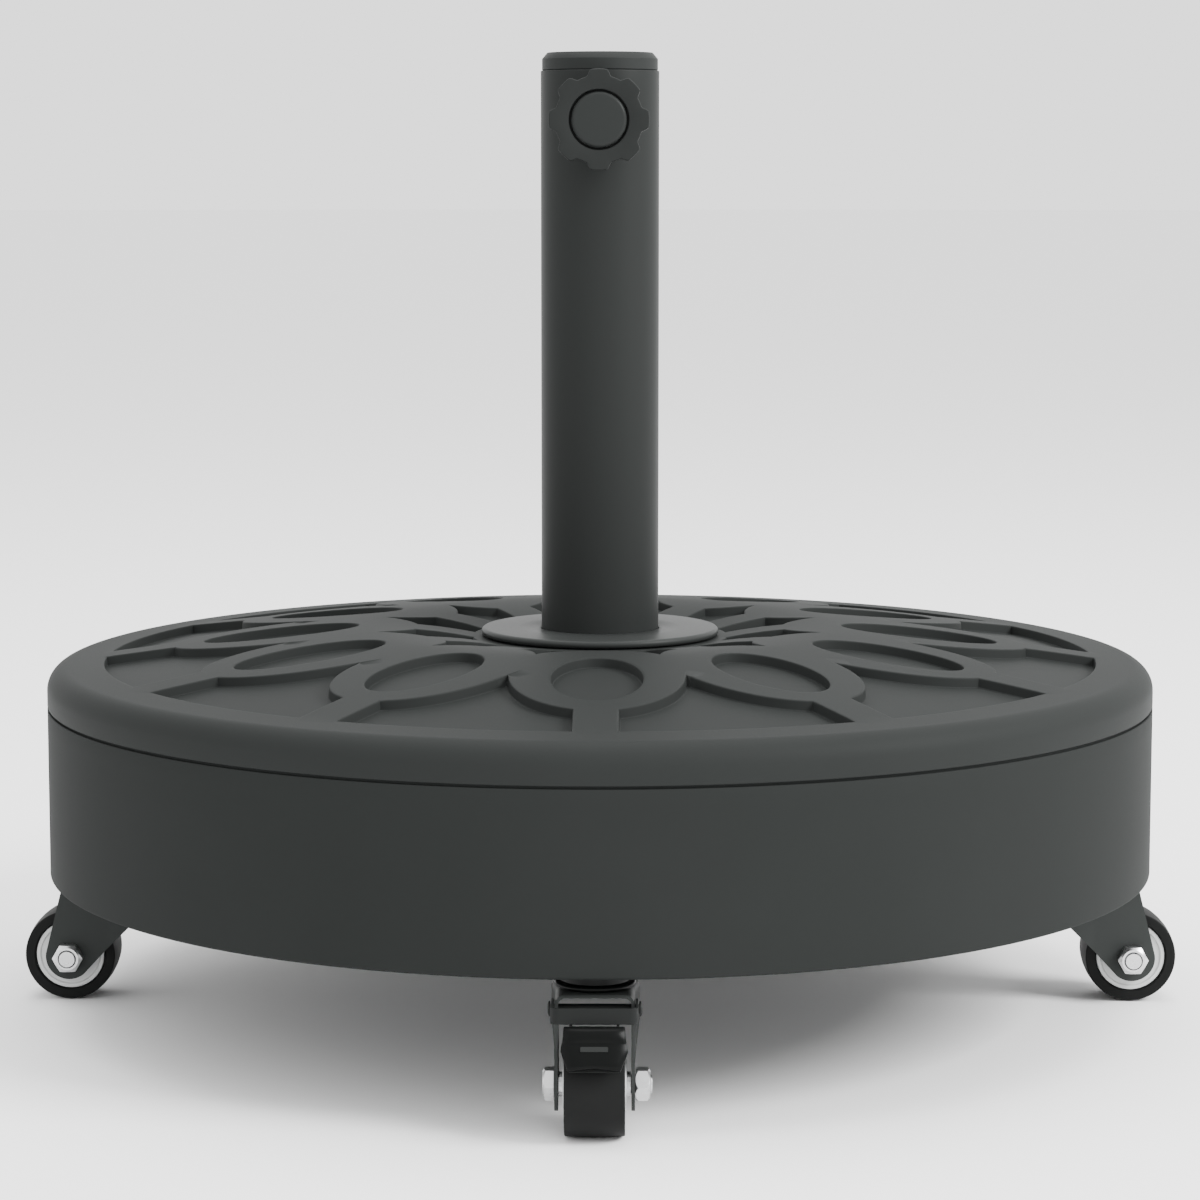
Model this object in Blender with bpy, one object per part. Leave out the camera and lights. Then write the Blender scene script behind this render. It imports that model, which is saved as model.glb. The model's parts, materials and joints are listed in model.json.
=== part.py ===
"""Round parasol base on four swivel castors.

A plastic casing and a domed cover hold a concrete ring. A steel tube stands in
the middle, with an adapter sleeve and a clamp screw with a scalloped knob for
the pole. The front and back castors have a foot brake.

Frame: +Z up, origin on the floor under the tube's axis, -Y to the front.
"""

import math

import bmesh
import bpy
from mathutils import Matrix

# Running and seating gap between neighbouring pieces
GAP = 0.0003

# Wheels
WHEEL_RADIUS = 0.021
WHEEL_WIDTH = 0.024
TYRE_DEPTH = 0.0052
TYRE_CORNER = 0.0014
HUB_BOSS_RADIUS = 0.0101
HUB_BOSS_PROUD = 0.0006
HUB_FACE_RECESS = 0.0008
SLEEVE_WALL = 0.0007

# Axle bolt and nut
AXLE_RADIUS = 0.004
AXLE_HEX_FLATS = 0.013
AXLE_HEAD_HEIGHT = 0.0044
AXLE_NUT_HEIGHT = 0.0058
AXLE_END_PROUD = 0.0007

# Castor forks and swivels
CASTOR_INSET = 0.023
CASTOR_TRAIL = 0.016
WHEEL_SIDE_GAP = 0.00245
FORK_HEADROOM = 0.0133
FORK_SHEET = 0.0014
CROWN_SHEET = 0.0018
FORK_NOSE = 0.0025
FORK_BACK = 0.0165
FORK_CREASE = -0.0010
FORK_FLARE = 0.00195
LEG_END_RADIUS = 0.009
LEG_END_START = 8
LEG_END_STOP = -128
LEG_END_STEPS = 7
LEG_HEEL_RISE = 0.003
CROWN_CORNER = 0.005
CROWN_OVERHANG = 1.011
RACE_RADIUS = 0.0162
RACE_HEIGHT = 0.0063
RACE_EDGE = 0.0015
STEM_RADIUS = 0.0048
STEM_HEAD_RADIUS = 0.008
STEM_HEAD_HEIGHT = 0.0026
STEM_HEAD_TAPER = 0.8
STEM_REACH = 0.026
INSERT_WALL = 0.0028
INSERT_LENGTH = 0.028

# Foot brakes
BRAKE_PIVOT_INSET = 0.0055
BRAKE_PIVOT_DROP = 0.0048
BRAKE_EAR_RADIUS = 0.004
BRAKE_PIN_RADIUS = 0.002
BRAKE_PIN_HEAD = 0.0032
BRAKE_PIN_HEAD_HEIGHT = 0.0012
YOKE_SHEET = 0.0011
YOKE_TUCK = 0.005
YOKE_CORNER = 0.0035
YOKE_BAND_HEIGHT = 0.006
TONGUE_TILT = math.radians(25.3)
TONGUE_HALF_WIDTH = 0.0128
TONGUE_LENGTH = 0.0195
TONGUE_SLOT_HEIGHT = 0.0013
TONGUE_SLOT_MARGIN = 0.0012
SHOE_HALF_WIDTH_TOP = 0.012
SHOE_HALF_WIDTH_MIDDLE = 0.0131
SHOE_HALF_WIDTH_FOOT = 0.0103
SHOE_WIDEST = 0.55
SHOE_THICKNESS = 0.0038
SHOE_FOOT_NOTCH = 0.001
SHOE_CROWN = 0.0012

# Casing
BASE_RADIUS = 0.250
CASING_HEIGHT = 0.0757
CASING_WALL = 0.003
CASING_FLOOR = 0.003
CASING_EDGE = 0.0012
LIP_HEIGHT = 0.006
LIP_WALL = 0.0016
SEAM_GAP = 0.0012
SOCKET_WALL = 0.0048
SOCKET_ROOF = 0.003

# Cover
SKIRT_HEIGHT = 0.0167
RIM_FILLET = 0.010
RIM_WIDTH = 0.025
RIM_FALL = 0.001
CREST_RADIUS = 0.105
CREST_RISE = 0.0138
CREST_POWER = 1.25
HUB_DIP = 0.0046
CREST_STEPS = 3
RIM_BLEND = 0.0015
COVER_THICKNESS = 0.008
RELIEF_DEPTH = 0.0043
RIM_FILLET_STEPS = 3

# Petal pattern of the cover
PETAL_COUNT = 12
HUB_RING_RADIUS = 0.0577
INNER_STEM_LENGTH = 0.0248
OUTER_STEM_LENGTH = 0.0305
PETAL_OVERLAP = 0.0006
PETAL_TIP_RIB = 0.013
PETAL_ROOT_RIB = 0.027
PETAL_SIDE_RIB = 0.0165
INNER_STEM_HALF = 0.0082
OUTER_STEM_HALF = 0.0087
HOLE_STEPS = 16
ARC_STEPS = 5

# Ballast
BALLAST_HEIGHT = 0.071

# Tube, foot and seat
TUBE_RADIUS = 0.0266
TUBE_WALL = 0.0015
TUBE_LENGTH = 0.351
FOOT_PLATE_RADIUS = 0.045
FOOT_PLATE_THICKNESS = 0.004
FOOT_BOLT_RADIUS = 0.006
FOOT_BOLT_FLATS = 0.019
FOOT_BOLT_HEAD = 0.006
FOOT_WASHER_RADIUS = 0.018
FOOT_WASHER_THICKNESS = 0.002
FOOT_NUT_HEIGHT = 0.0095
SEAT_THICKNESS = 0.006
SEAT_PAD_RADIUS = 0.017
SEAT_PAD_HEIGHT = 0.002

# Collar round the tube
COLLAR_RADIUS = 0.054
COLLAR_THICKNESS = 0.0036
COLLAR_EDGE_STEPS = 4

# Adapter sleeve
ADAPTER_WALL = 0.0055
ADAPTER_DEPTH = 0.0926
ADAPTER_RIM_RADIUS = 0.026
ADAPTER_RIM_HEIGHT = 0.0077
ADAPTER_CHAMFER_HEIGHT = 0.0027
ADAPTER_CHAMFER_WIDTH = 0.0022

# Clamp screw and knob
CLAMP_DROP = 0.0223
CLAMP_TRAVEL = 0.0062
SCREW_RADIUS = 0.004
BOSS_RADIUS = 0.008
BOSS_PROUD = 0.0048
GRIP_LOBES = 8
GRIP_RADIUS = 0.022
GRIP_NOTCH_RADIUS = 0.0193
GRIP_LENGTH = 0.014
GRIP_START_GAP = 0.0004
GRIP_LOBE_SHARE = 0.21
GRIP_NOTCH_SHARE = 0.36
CAP_RADIUS = 0.0121
CAP_GROOVE = 0.001
CAP_RECESS = 0.004
CAP_PROUD = 0.0008
CAP_EDGE = 0.0012
CAP_EDGE_STEPS = 2

# Facets round a full turn
LARGE_FACETS = 48
TUBE_FACETS = 36
WHEEL_FACETS = 24
SMALL_FACETS = 16

# Heights worked up from the floor
AXLE_HEIGHT = WHEEL_RADIUS
CROWN_BOTTOM = 2 * WHEEL_RADIUS + FORK_HEADROOM
CROWN_TOP = CROWN_BOTTOM + CROWN_SHEET
RACE_BOTTOM = CROWN_TOP + GAP
CASING_BOTTOM = RACE_BOTTOM + RACE_HEIGHT + GAP
CASING_TOP = CASING_BOTTOM + CASING_HEIGHT
FLOOR_TOP = CASING_BOTTOM + CASING_FLOOR
COVER_BOTTOM = CASING_TOP + SEAM_GAP
RIM_TOP = COVER_BOTTOM + SKIRT_HEIGHT
PLATE_BOTTOM = FLOOR_TOP + GAP
PLATE_TOP = PLATE_BOTTOM + FOOT_PLATE_THICKNESS
TUBE_BOTTOM = PLATE_TOP + GAP
TUBE_TOP = TUBE_BOTTOM + TUBE_LENGTH
CLAMP_HEIGHT = TUBE_TOP - CLAMP_DROP

# Radii worked out from the driving ones
SLEEVE_INNER = AXLE_RADIUS + GAP
SLEEVE_OUTER = SLEEVE_INNER + SLEEVE_WALL
HUB_RADIUS = WHEEL_RADIUS - TYRE_DEPTH
LEG_INNER = WHEEL_WIDTH / 2 + WHEEL_SIDE_GAP
LEG_OUTER = LEG_INNER + FORK_SHEET
YOKE_INNER = LEG_OUTER + GAP
YOKE_OUTER = YOKE_INNER + YOKE_SHEET
INSERT_RADIUS = STEM_RADIUS + GAP + INSERT_WALL
SOCKET_BORE = INSERT_RADIUS + GAP
SOCKET_RADIUS = SOCKET_BORE + SOCKET_WALL
CASTOR_ORBIT = BASE_RADIUS - CASTOR_INSET
FORK_FRONT = CASTOR_TRAIL + FORK_NOSE
BRAKE_PIVOT_OUT = FORK_FRONT - BRAKE_PIVOT_INSET
YOKE_REACH = CASTOR_TRAIL + WHEEL_RADIUS - YOKE_TUCK
RECESS_RADIUS = BASE_RADIUS - RIM_WIDTH
TUBE_INNER = TUBE_RADIUS - TUBE_WALL
ADAPTER_OUTER = TUBE_INNER - GAP
ADAPTER_INNER = ADAPTER_OUTER - ADAPTER_WALL
SCREW_HOLE = SCREW_RADIUS + GAP
BOSS_FACE = TUBE_RADIUS + BOSS_PROUD
GRIP_BACK = BOSS_FACE + CLAMP_TRAVEL + GRIP_START_GAP
GRIP_FACE = GRIP_BACK + GRIP_LENGTH
BRAKE_PIVOT_HEIGHT = CROWN_BOTTOM - BRAKE_PIVOT_DROP


def clear_scene():
    """Remove whatever the new file holds."""
    for old in list(bpy.data.objects):
        bpy.data.objects.remove(old)


def finish_material(name, colour, roughness, metallic=0.0):
    """Make one Principled finish."""
    finish = bpy.data.materials.new(name)
    finish.use_nodes = True
    shader = finish.node_tree.nodes["Principled BSDF"]
    shader.inputs["Base Color"].default_value = (*colour, 1.0)
    shader.inputs["Roughness"].default_value = roughness
    shader.inputs["Metallic"].default_value = metallic
    return finish


def mesh_from(shape):
    """Turn a bmesh into a mesh whose faces point out."""
    bmesh.ops.recalc_face_normals(shape, faces=shape.faces)
    mesh = bpy.data.meshes.new("piece")
    shape.to_mesh(mesh)
    shape.free()
    return mesh


def turned(profile, facets, half_step=False):
    """Turn a closed outline of (radius, height) points round Z."""
    shape = bmesh.new()
    rings = []
    for radius, height in profile:
        if radius == 0:
            rings.append([shape.verts.new((0, 0, height))] * facets)
            continue
        ring = []
        for step in range(facets):
            angle = (step + half_step * 0.5) * math.tau / facets
            point = (radius * math.cos(angle), radius * math.sin(angle), height)
            ring.append(shape.verts.new(point))
        rings.append(ring)
    for lower, upper in zip(rings, rings[1:] + rings[:1]):
        for step in range(facets):
            following = (step + 1) % facets
            corners = [lower[step], lower[following], upper[following], upper[step]]
            corners = list(dict.fromkeys(corners))
            if len(corners) > 2:
                shape.faces.new(corners)
    return mesh_from(shape)


def prism(outlines, low, high):
    """Extrude closed (x, y) outlines from one height to another."""
    shape = bmesh.new()
    for outline in outlines:
        face = shape.faces.new([shape.verts.new((x, y, low)) for x, y in outline])
        raised = bmesh.ops.extrude_face_region(shape, geom=[face])["geom"]
        corners = [part for part in raised if isinstance(part, bmesh.types.BMVert)]
        bmesh.ops.translate(shape, verts=corners, vec=(0, 0, high - low))
    return mesh_from(shape)


def circle(radius, facets, centre=(0.0, 0.0)):
    """Points of a circle."""
    steps = [step * math.tau / facets for step in range(facets)]
    return [(centre[0] + radius * math.cos(a), centre[1] + radius * math.sin(a)) for a in steps]


def arc(centre, radius, start, end, steps):
    """Points of an arc between two angles in degrees."""
    points = []
    for step in range(steps + 1):
        angle = math.radians(start + (end - start) * step / steps)
        points.append((centre[0] + radius * math.cos(angle), centre[1] + radius * math.sin(angle)))
    return points


def hexagon(flats):
    """Points of a hexagon across its flats."""
    return circle(flats / math.sqrt(3), 6)


def moved(mesh, matrix):
    """Move or turn a mesh's points."""
    mesh.transform(matrix)
    return mesh


def lying(mesh):
    """Turn a mesh from along Z to along Y."""
    return moved(mesh, Matrix.Rotation(math.radians(-90), 4, "X"))


def side_plate(outline, half_width):
    """Extrude an (x, z) outline evenly to both sides along Y."""
    plate = prism([outline], -half_width, half_width)
    return moved(plate, Matrix.Rotation(math.radians(90), 4, "X"))


def worked(mesh, *steps):
    """Apply (operation, tool mesh) Boolean steps to a mesh."""
    collection = bpy.context.scene.collection
    blank = bpy.data.objects.new("blank", mesh)
    collection.objects.link(blank)
    tools = []
    for operation, tool_mesh in steps:
        tool = bpy.data.objects.new("tool", tool_mesh)
        collection.objects.link(tool)
        tools.append(tool)
        modifier = blank.modifiers.new(operation, "BOOLEAN")
        modifier.operation = operation
        modifier.solver = "EXACT"
        modifier.object = tool
    graph = bpy.context.evaluated_depsgraph_get()
    result = bpy.data.meshes.new_from_object(blank.evaluated_get(graph))
    for spent in [blank] + tools:
        bpy.data.objects.remove(spent)
    return result


def place(name, mesh, finish, parent=None, origin=(0, 0, 0)):
    """Put a mesh in the scene as one named piece, its origin moved to a point."""
    if origin != (0, 0, 0):
        mesh = moved(mesh.copy(), Matrix.Translation([-part for part in origin]))
    mesh.materials.clear()
    mesh.materials.append(finish)
    mesh.shade_smooth()
    mesh.set_sharp_from_angle(angle=math.radians(35))
    piece = bpy.data.objects.new(name, mesh)
    piece.location = origin
    piece.parent = parent
    bpy.context.scene.collection.objects.link(piece)
    return piece


def joint_empty(name, location, parent=None, turn=0.0):
    """Put an empty on a joint's axis."""
    empty = bpy.data.objects.new(name, None)
    empty.location = location
    empty.rotation_euler = (0, 0, turn)
    empty.parent = parent
    bpy.context.scene.collection.objects.link(empty)
    return empty


# Casing and ballast ---------------------------------------------------------


def castor_places():
    """Sides and directions of the four castors."""
    return [("right", 0.0), ("back", 90.0), ("left", 180.0), ("front", 270.0)]


def socket_prisms(radius, low, high):
    """One round prism over each castor stem."""
    outlines = []
    for _, direction in castor_places():
        angle = math.radians(direction)
        centre = (CASTOR_ORBIT * math.cos(angle), CASTOR_ORBIT * math.sin(angle))
        outlines.append(circle(radius, SMALL_FACETS, centre))
    return prism(outlines, low, high)


def bottom_casing_mesh():
    """Open pan with a lip for the cover and a socket for each castor."""
    wall = BASE_RADIUS - CASING_WALL
    lip = wall + LIP_WALL
    bolt_hole = FOOT_BOLT_RADIUS + GAP
    pan = turned(
        [
            (bolt_hole, CASING_BOTTOM),
            (BASE_RADIUS - CASING_EDGE, CASING_BOTTOM),
            (BASE_RADIUS, CASING_BOTTOM + CASING_EDGE),
            (BASE_RADIUS, CASING_TOP),
            (lip, CASING_TOP),
            (lip, CASING_TOP + LIP_HEIGHT),
            (wall, CASING_TOP + LIP_HEIGHT),
            (wall, FLOOR_TOP),
            (bolt_hole, FLOOR_TOP),
        ],
        LARGE_FACETS,
    )
    bore_top = CASING_BOTTOM + INSERT_LENGTH + 2 * GAP
    sockets = socket_prisms(SOCKET_RADIUS, FLOOR_TOP - CASING_FLOOR / 2, bore_top + SOCKET_ROOF)
    bores = socket_prisms(SOCKET_BORE, CASING_BOTTOM - CASING_FLOOR, bore_top)
    return worked(pan, ("UNION", sockets), ("DIFFERENCE", bores))


def ballast_mesh():
    """Concrete ring round the tube, stepped over the foot plate."""
    outer = BASE_RADIUS - CASING_WALL - GAP
    low = FLOOR_TOP + GAP
    step = PLATE_TOP + GAP
    ring = turned(
        [
            (FOOT_PLATE_RADIUS + GAP, low),
            (outer, low),
            (outer, low + BALLAST_HEIGHT),
            (TUBE_RADIUS + GAP, low + BALLAST_HEIGHT),
            (TUBE_RADIUS + GAP, step),
            (FOOT_PLATE_RADIUS + GAP, step),
        ],
        LARGE_FACETS,
    )
    return worked(ring, ("DIFFERENCE", socket_prisms(SOCKET_RADIUS + GAP, 0, RIM_TOP)))


# Cover ----------------------------------------------------------------------


def crown_height(radius):
    """Height of the raised pattern: a broad crest that dips to a flat hub ring."""
    crest = RIM_TOP + RIM_FALL + CREST_RISE
    if radius > CREST_RADIUS:
        share = (radius - CREST_RADIUS) / (RECESS_RADIUS - CREST_RADIUS)
        return crest - CREST_RISE * share**CREST_POWER
    share = (CREST_RADIUS - max(radius, HUB_RING_RADIUS)) / (CREST_RADIUS - HUB_RING_RADIUS)
    return crest - HUB_DIP * share**2


def crown_radii(first, last):
    """Ring radii from the bore past the hub ring and the crest to the rim."""
    hub = HUB_RING_RADIUS - RIM_BLEND
    rise = [first, hub, (hub + CREST_RADIUS) / 2, CREST_RADIUS]
    fall = [CREST_RADIUS + (last - CREST_RADIUS) * step / CREST_STEPS for step in range(1, CREST_STEPS + 1)]
    return rise + fall


def petal_sizes():
    """Centre and half axes of a petal and of its hole."""
    root = HUB_RING_RADIUS + INNER_STEM_LENGTH
    tip = RECESS_RADIUS - OUTER_STEM_LENGTH
    centre = (root + tip) / 2
    half_width = centre * math.sin(math.pi / PETAL_COUNT) + PETAL_OVERLAP
    hole_root = root + PETAL_ROOT_RIB
    hole_tip = tip - PETAL_TIP_RIB
    petal = (centre, (tip - root) / 2, half_width)
    hole = ((hole_root + hole_tip) / 2, (hole_tip - hole_root) / 2, half_width - PETAL_SIDE_RIB)
    return petal, hole


def petal_crossing(petal, side, outward):
    """Angle on the petal's edge where it is a given distance from its axis."""
    base = math.asin(side / petal[2])
    return base if outward else math.pi - base


def merge_angles(petal):
    """Angles on the petal's edge where it meets its neighbour."""
    centre, half_length, half_width = petal
    slope = math.tan(math.pi / PETAL_COUNT)
    square = 1 / half_length**2 + (slope / half_width) ** 2
    linear = -2 * centre / half_length**2
    constant = (centre / half_length) ** 2 - 1
    root = math.sqrt(linear**2 - 4 * square * constant)
    found = []
    for sign in (1, -1):
        along = (-linear + sign * root) / (2 * square)
        found.append(math.atan2(along * slope / half_width, (along - centre) / half_length))
    return found


def petal_arc(petal, start, end):
    """Points on the petal's edge between two angles."""
    points = []
    for step in range(ARC_STEPS + 1):
        angle = start + (end - start) * step / ARC_STEPS
        points.append((petal[0] + petal[1] * math.cos(angle), petal[2] * math.sin(angle)))
    return points


def mirrored_pocket(half):
    """Complete a pocket from its half beside the petal at angle zero."""
    turn = math.tau / PETAL_COUNT
    other = []
    for x, y in reversed(half):
        other.append((x * math.cos(turn) + y * math.sin(turn), x * math.sin(turn) - y * math.cos(turn)))
    return half + [p for p in other if math.dist(p, half[-1]) > GAP and math.dist(p, half[0]) > GAP]


def pocket_outlines():
    """Outlines of all recesses between the raised ribs."""
    petal, hole = petal_sizes()
    outer_merge, inner_merge = merge_angles(petal)
    rim_start = math.asin(OUTER_STEM_HALF / RECESS_RADIUS)
    hub_start = math.asin(INNER_STEM_HALF / HUB_RING_RADIUS)
    middle = math.pi / PETAL_COUNT
    outer = petal_arc(petal, outer_merge, petal_crossing(petal, OUTER_STEM_HALF, True))
    for step in range(3):
        angle = rim_start + (middle - rim_start) * step / 2
        outer.append((RECESS_RADIUS * math.cos(angle), RECESS_RADIUS * math.sin(angle)))
    inner = petal_arc(petal, inner_merge, petal_crossing(petal, INNER_STEM_HALF, False))
    for step in range(2):
        angle = hub_start + (middle - hub_start) * step
        inner.append((HUB_RING_RADIUS * math.cos(angle), HUB_RING_RADIUS * math.sin(angle)))
    hole_outline = []
    for step in range(HOLE_STEPS):
        angle = step * math.tau / HOLE_STEPS
        hole_outline.append((hole[0] + hole[1] * math.cos(angle), hole[2] * math.sin(angle)))
    outlines = []
    for index in range(PETAL_COUNT):
        turn = index * math.tau / PETAL_COUNT
        for outline in (mirrored_pocket(outer), mirrored_pocket(inner), hole_outline):
            outlines.append(
                [
                    (x * math.cos(turn) - y * math.sin(turn), x * math.sin(turn) + y * math.cos(turn))
                    for x, y in outline
                ]
            )
    return outlines


def top_cover_mesh():
    """Domed cover with the petal pattern standing out of its recesses."""
    hole = TUBE_RADIUS + 2 * GAP
    flat_end = BASE_RADIUS - RIM_FILLET
    lip_clear = BASE_RADIUS - CASING_WALL + LIP_WALL + GAP
    radii = crown_radii(hole, RECESS_RADIUS + RIM_BLEND)
    fillet = arc((flat_end, RIM_TOP - RIM_FILLET), RIM_FILLET, 90, 0, RIM_FILLET_STEPS)
    skirt_top = CASING_TOP + LIP_HEIGHT + GAP
    upper = [(radius, crown_height(radius)) for radius in radii]
    under_radii = [hole, HUB_RING_RADIUS - RIM_BLEND, CREST_RADIUS, RECESS_RADIUS]
    under = [(radius, crown_height(radius) - COVER_THICKNESS) for radius in under_radii]
    profile = upper + fillet + [(BASE_RADIUS, COVER_BOTTOM), (lip_clear, COVER_BOTTOM)]
    profile += [(lip_clear, skirt_top), (flat_end, skirt_top)] + under[::-1]
    body = turned(profile, LARGE_FACETS)
    floor_radii = crown_radii(hole / 2, RECESS_RADIUS + 2 * RELIEF_DEPTH)
    floor_line = [(radius, crown_height(radius) - RELIEF_DEPTH) for radius in floor_radii]
    low = CASING_TOP
    floor_profile = [(0, low), (0, floor_line[0][1])] + floor_line + [(floor_radii[-1], low)]
    floor = turned(floor_profile, LARGE_FACETS, half_step=True)
    pockets = prism(pocket_outlines(), low + GAP, crown_height(CREST_RADIUS) + RELIEF_DEPTH)
    pockets = worked(pockets, ("DIFFERENCE", floor))
    return worked(body, ("DIFFERENCE", pockets))


# Tube and what is fixed to it ------------------------------------------------


def pole_tube_mesh():
    """Steel tube with the hole for the clamp screw."""
    tube = turned(
        [
            (TUBE_INNER, TUBE_BOTTOM),
            (TUBE_RADIUS, TUBE_BOTTOM),
            (TUBE_RADIUS, TUBE_TOP),
            (TUBE_INNER, TUBE_TOP),
        ],
        TUBE_FACETS,
    )
    drill = lying(prism([circle(SCREW_HOLE, SMALL_FACETS)], -2 * TUBE_RADIUS, 0))
    drill = moved(drill, Matrix.Translation((0, 0, CLAMP_HEIGHT)))
    return worked(tube, ("DIFFERENCE", drill))


def clamp_boss_mesh():
    """Round threaded boss, saddled to the tube."""
    boss = lying(prism([circle(BOSS_RADIUS, WHEEL_FACETS)], -BOSS_FACE, -TUBE_INNER + TUBE_WALL))
    boss = moved(boss, Matrix.Translation((0, 0, CLAMP_HEIGHT)))
    saddle = prism([circle(TUBE_RADIUS + GAP, TUBE_FACETS)], CLAMP_HEIGHT / 2, 2 * CLAMP_HEIGHT)
    drill = lying(prism([circle(SCREW_HOLE, SMALL_FACETS)], -2 * TUBE_RADIUS, 0))
    drill = moved(drill, Matrix.Translation((0, 0, CLAMP_HEIGHT)))
    return worked(boss, ("DIFFERENCE", saddle), ("DIFFERENCE", drill))


def foot_plate_mesh():
    """Round plate under the tube, with the foot bolt's hole."""
    bore = FOOT_BOLT_RADIUS + GAP
    return turned(
        [
            (bore, PLATE_BOTTOM),
            (FOOT_PLATE_RADIUS, PLATE_BOTTOM),
            (FOOT_PLATE_RADIUS, PLATE_TOP),
            (bore, PLATE_TOP),
        ],
        WHEEL_FACETS,
    )


def foot_washer_mesh():
    """Washer between the bolt's head and the casing."""
    top = CASING_BOTTOM - GAP
    bore = FOOT_BOLT_RADIUS + GAP
    low = top - FOOT_WASHER_THICKNESS
    return turned(
        [(bore, low), (FOOT_WASHER_RADIUS, low), (FOOT_WASHER_RADIUS, top), (bore, top)],
        SMALL_FACETS,
    )


def foot_bolt_mesh():
    """Hex bolt up through the casing and the foot plate."""
    head_top = CASING_BOTTOM - 2 * GAP - FOOT_WASHER_THICKNESS
    head = prism([hexagon(FOOT_BOLT_FLATS)], head_top - FOOT_BOLT_HEAD, head_top)
    end = PLATE_TOP + GAP + FOOT_NUT_HEIGHT
    shank = prism([circle(FOOT_BOLT_RADIUS, SMALL_FACETS)], head_top - FOOT_BOLT_HEAD / 2, end)
    return worked(head, ("UNION", shank))


def foot_nut_mesh():
    """Hex nut on the foot plate, inside the tube."""
    low = PLATE_TOP + GAP
    nut = prism([hexagon(FOOT_BOLT_FLATS)], low, low + FOOT_NUT_HEIGHT)
    bore = prism([circle(FOOT_BOLT_RADIUS + GAP, SMALL_FACETS)], 0, 2 * low)
    return worked(nut, ("DIFFERENCE", bore))


def pole_seat_mesh():
    """Plastic plug over the nut, with a raised pad for the pole's end."""
    low = PLATE_TOP + FOOT_NUT_HEIGHT + 3 * GAP
    shoulder = low + SEAT_THICKNESS
    return turned(
        [
            (0, low),
            (ADAPTER_OUTER, low),
            (ADAPTER_OUTER, shoulder),
            (SEAT_PAD_RADIUS, shoulder),
            (SEAT_PAD_RADIUS, shoulder + SEAT_PAD_HEIGHT),
            (0, shoulder + SEAT_PAD_HEIGHT),
        ],
        WHEEL_FACETS,
    )


def collar_mesh():
    """Thin disc with a rounded edge that covers the hole round the tube."""
    low = crown_height(0) + GAP
    middle = (COLLAR_RADIUS - COLLAR_THICKNESS / 2, low + COLLAR_THICKNESS / 2)
    edge = arc(middle, COLLAR_THICKNESS / 2, -90, 90, COLLAR_EDGE_STEPS)
    bore = TUBE_RADIUS + GAP
    return turned([(bore, low)] + edge + [(bore, low + COLLAR_THICKNESS)], TUBE_FACETS)


def adapter_mesh():
    """Sleeve for thinner poles, slotted from below to pass the clamp screw."""
    rim_low = TUBE_TOP + GAP
    rim_top = rim_low + ADAPTER_RIM_HEIGHT
    foot = rim_low - ADAPTER_DEPTH
    sleeve = turned(
        [
            (ADAPTER_INNER, foot),
            (ADAPTER_OUTER, foot),
            (ADAPTER_OUTER, rim_low),
            (ADAPTER_RIM_RADIUS, rim_low),
            (ADAPTER_RIM_RADIUS, rim_top - ADAPTER_CHAMFER_HEIGHT),
            (ADAPTER_RIM_RADIUS - ADAPTER_CHAMFER_WIDTH, rim_top),
            (ADAPTER_INNER, rim_top),
        ],
        TUBE_FACETS,
    )
    half_slot = SCREW_RADIUS + 2 * GAP
    slot = arc((0, CLAMP_HEIGHT), half_slot, 0, 180, 8)
    slot += [(-half_slot, foot - ADAPTER_WALL), (half_slot, foot - ADAPTER_WALL)]
    cutter = prism([slot], 0, 2 * TUBE_RADIUS)
    cutter = moved(cutter, Matrix.Rotation(math.radians(90), 4, "X"))
    return worked(sleeve, ("DIFFERENCE", cutter))


# Clamp knob -------------------------------------------------------------------


def knob_outline():
    """Scalloped outline with a lobe on each main and diagonal direction."""
    pitch = math.tau / GRIP_LOBES
    points = []
    for lobe in range(GRIP_LOBES):
        for share in (-GRIP_LOBE_SHARE, 0.0, GRIP_LOBE_SHARE):
            angle = (lobe + share) * pitch
            points.append((GRIP_RADIUS * math.cos(angle), GRIP_RADIUS * math.sin(angle)))
        for share in (GRIP_NOTCH_SHARE, 1 - GRIP_NOTCH_SHARE):
            angle = (lobe + share) * pitch
            points.append((GRIP_NOTCH_RADIUS * math.cos(angle), GRIP_NOTCH_RADIUS * math.sin(angle)))
    return points


def knob_grip_mesh():
    """Lobed grip with a round recess for the cap and the screw's bore."""
    grip = lying(prism([knob_outline()], -GRIP_FACE, -GRIP_BACK))
    recess_radius = CAP_RADIUS + CAP_GROOVE
    recess = lying(prism([circle(recess_radius, TUBE_FACETS)], -2 * GRIP_FACE, -GRIP_FACE + CAP_RECESS))
    bore = lying(prism([circle(SCREW_HOLE, SMALL_FACETS)], -2 * GRIP_FACE, 0))
    grip = worked(grip, ("DIFFERENCE", recess), ("DIFFERENCE", bore))
    return moved(grip, Matrix.Translation((0, 0, CLAMP_HEIGHT)))


def knob_cap_mesh():
    """Round cap that closes the knob's recess."""
    back = GRIP_FACE - CAP_RECESS + GAP
    front = GRIP_FACE + CAP_PROUD
    cap = turned(
        [
            (0, back),
            (CAP_RADIUS, back),
            *arc((CAP_RADIUS - CAP_EDGE, front - CAP_EDGE), CAP_EDGE, 0, 90, CAP_EDGE_STEPS),
            (0, front),
        ],
        TUBE_FACETS,
    )
    cap = moved(cap, Matrix.Rotation(math.radians(90), 4, "X"))
    return moved(cap, Matrix.Translation((0, 0, CLAMP_HEIGHT)))


def clamp_screw_mesh():
    """Stud from the cap through the boss, its tip inside the tube's wall."""
    tip = TUBE_INNER + GAP / 3
    end = GRIP_FACE - CAP_RECESS
    stud = lying(prism([circle(SCREW_RADIUS, SMALL_FACETS)], -end, -tip))
    return moved(stud, Matrix.Translation((0, 0, CLAMP_HEIGHT)))


# Castors, modelled round the swivel's axis with the wheel towards +X -----------


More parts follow.
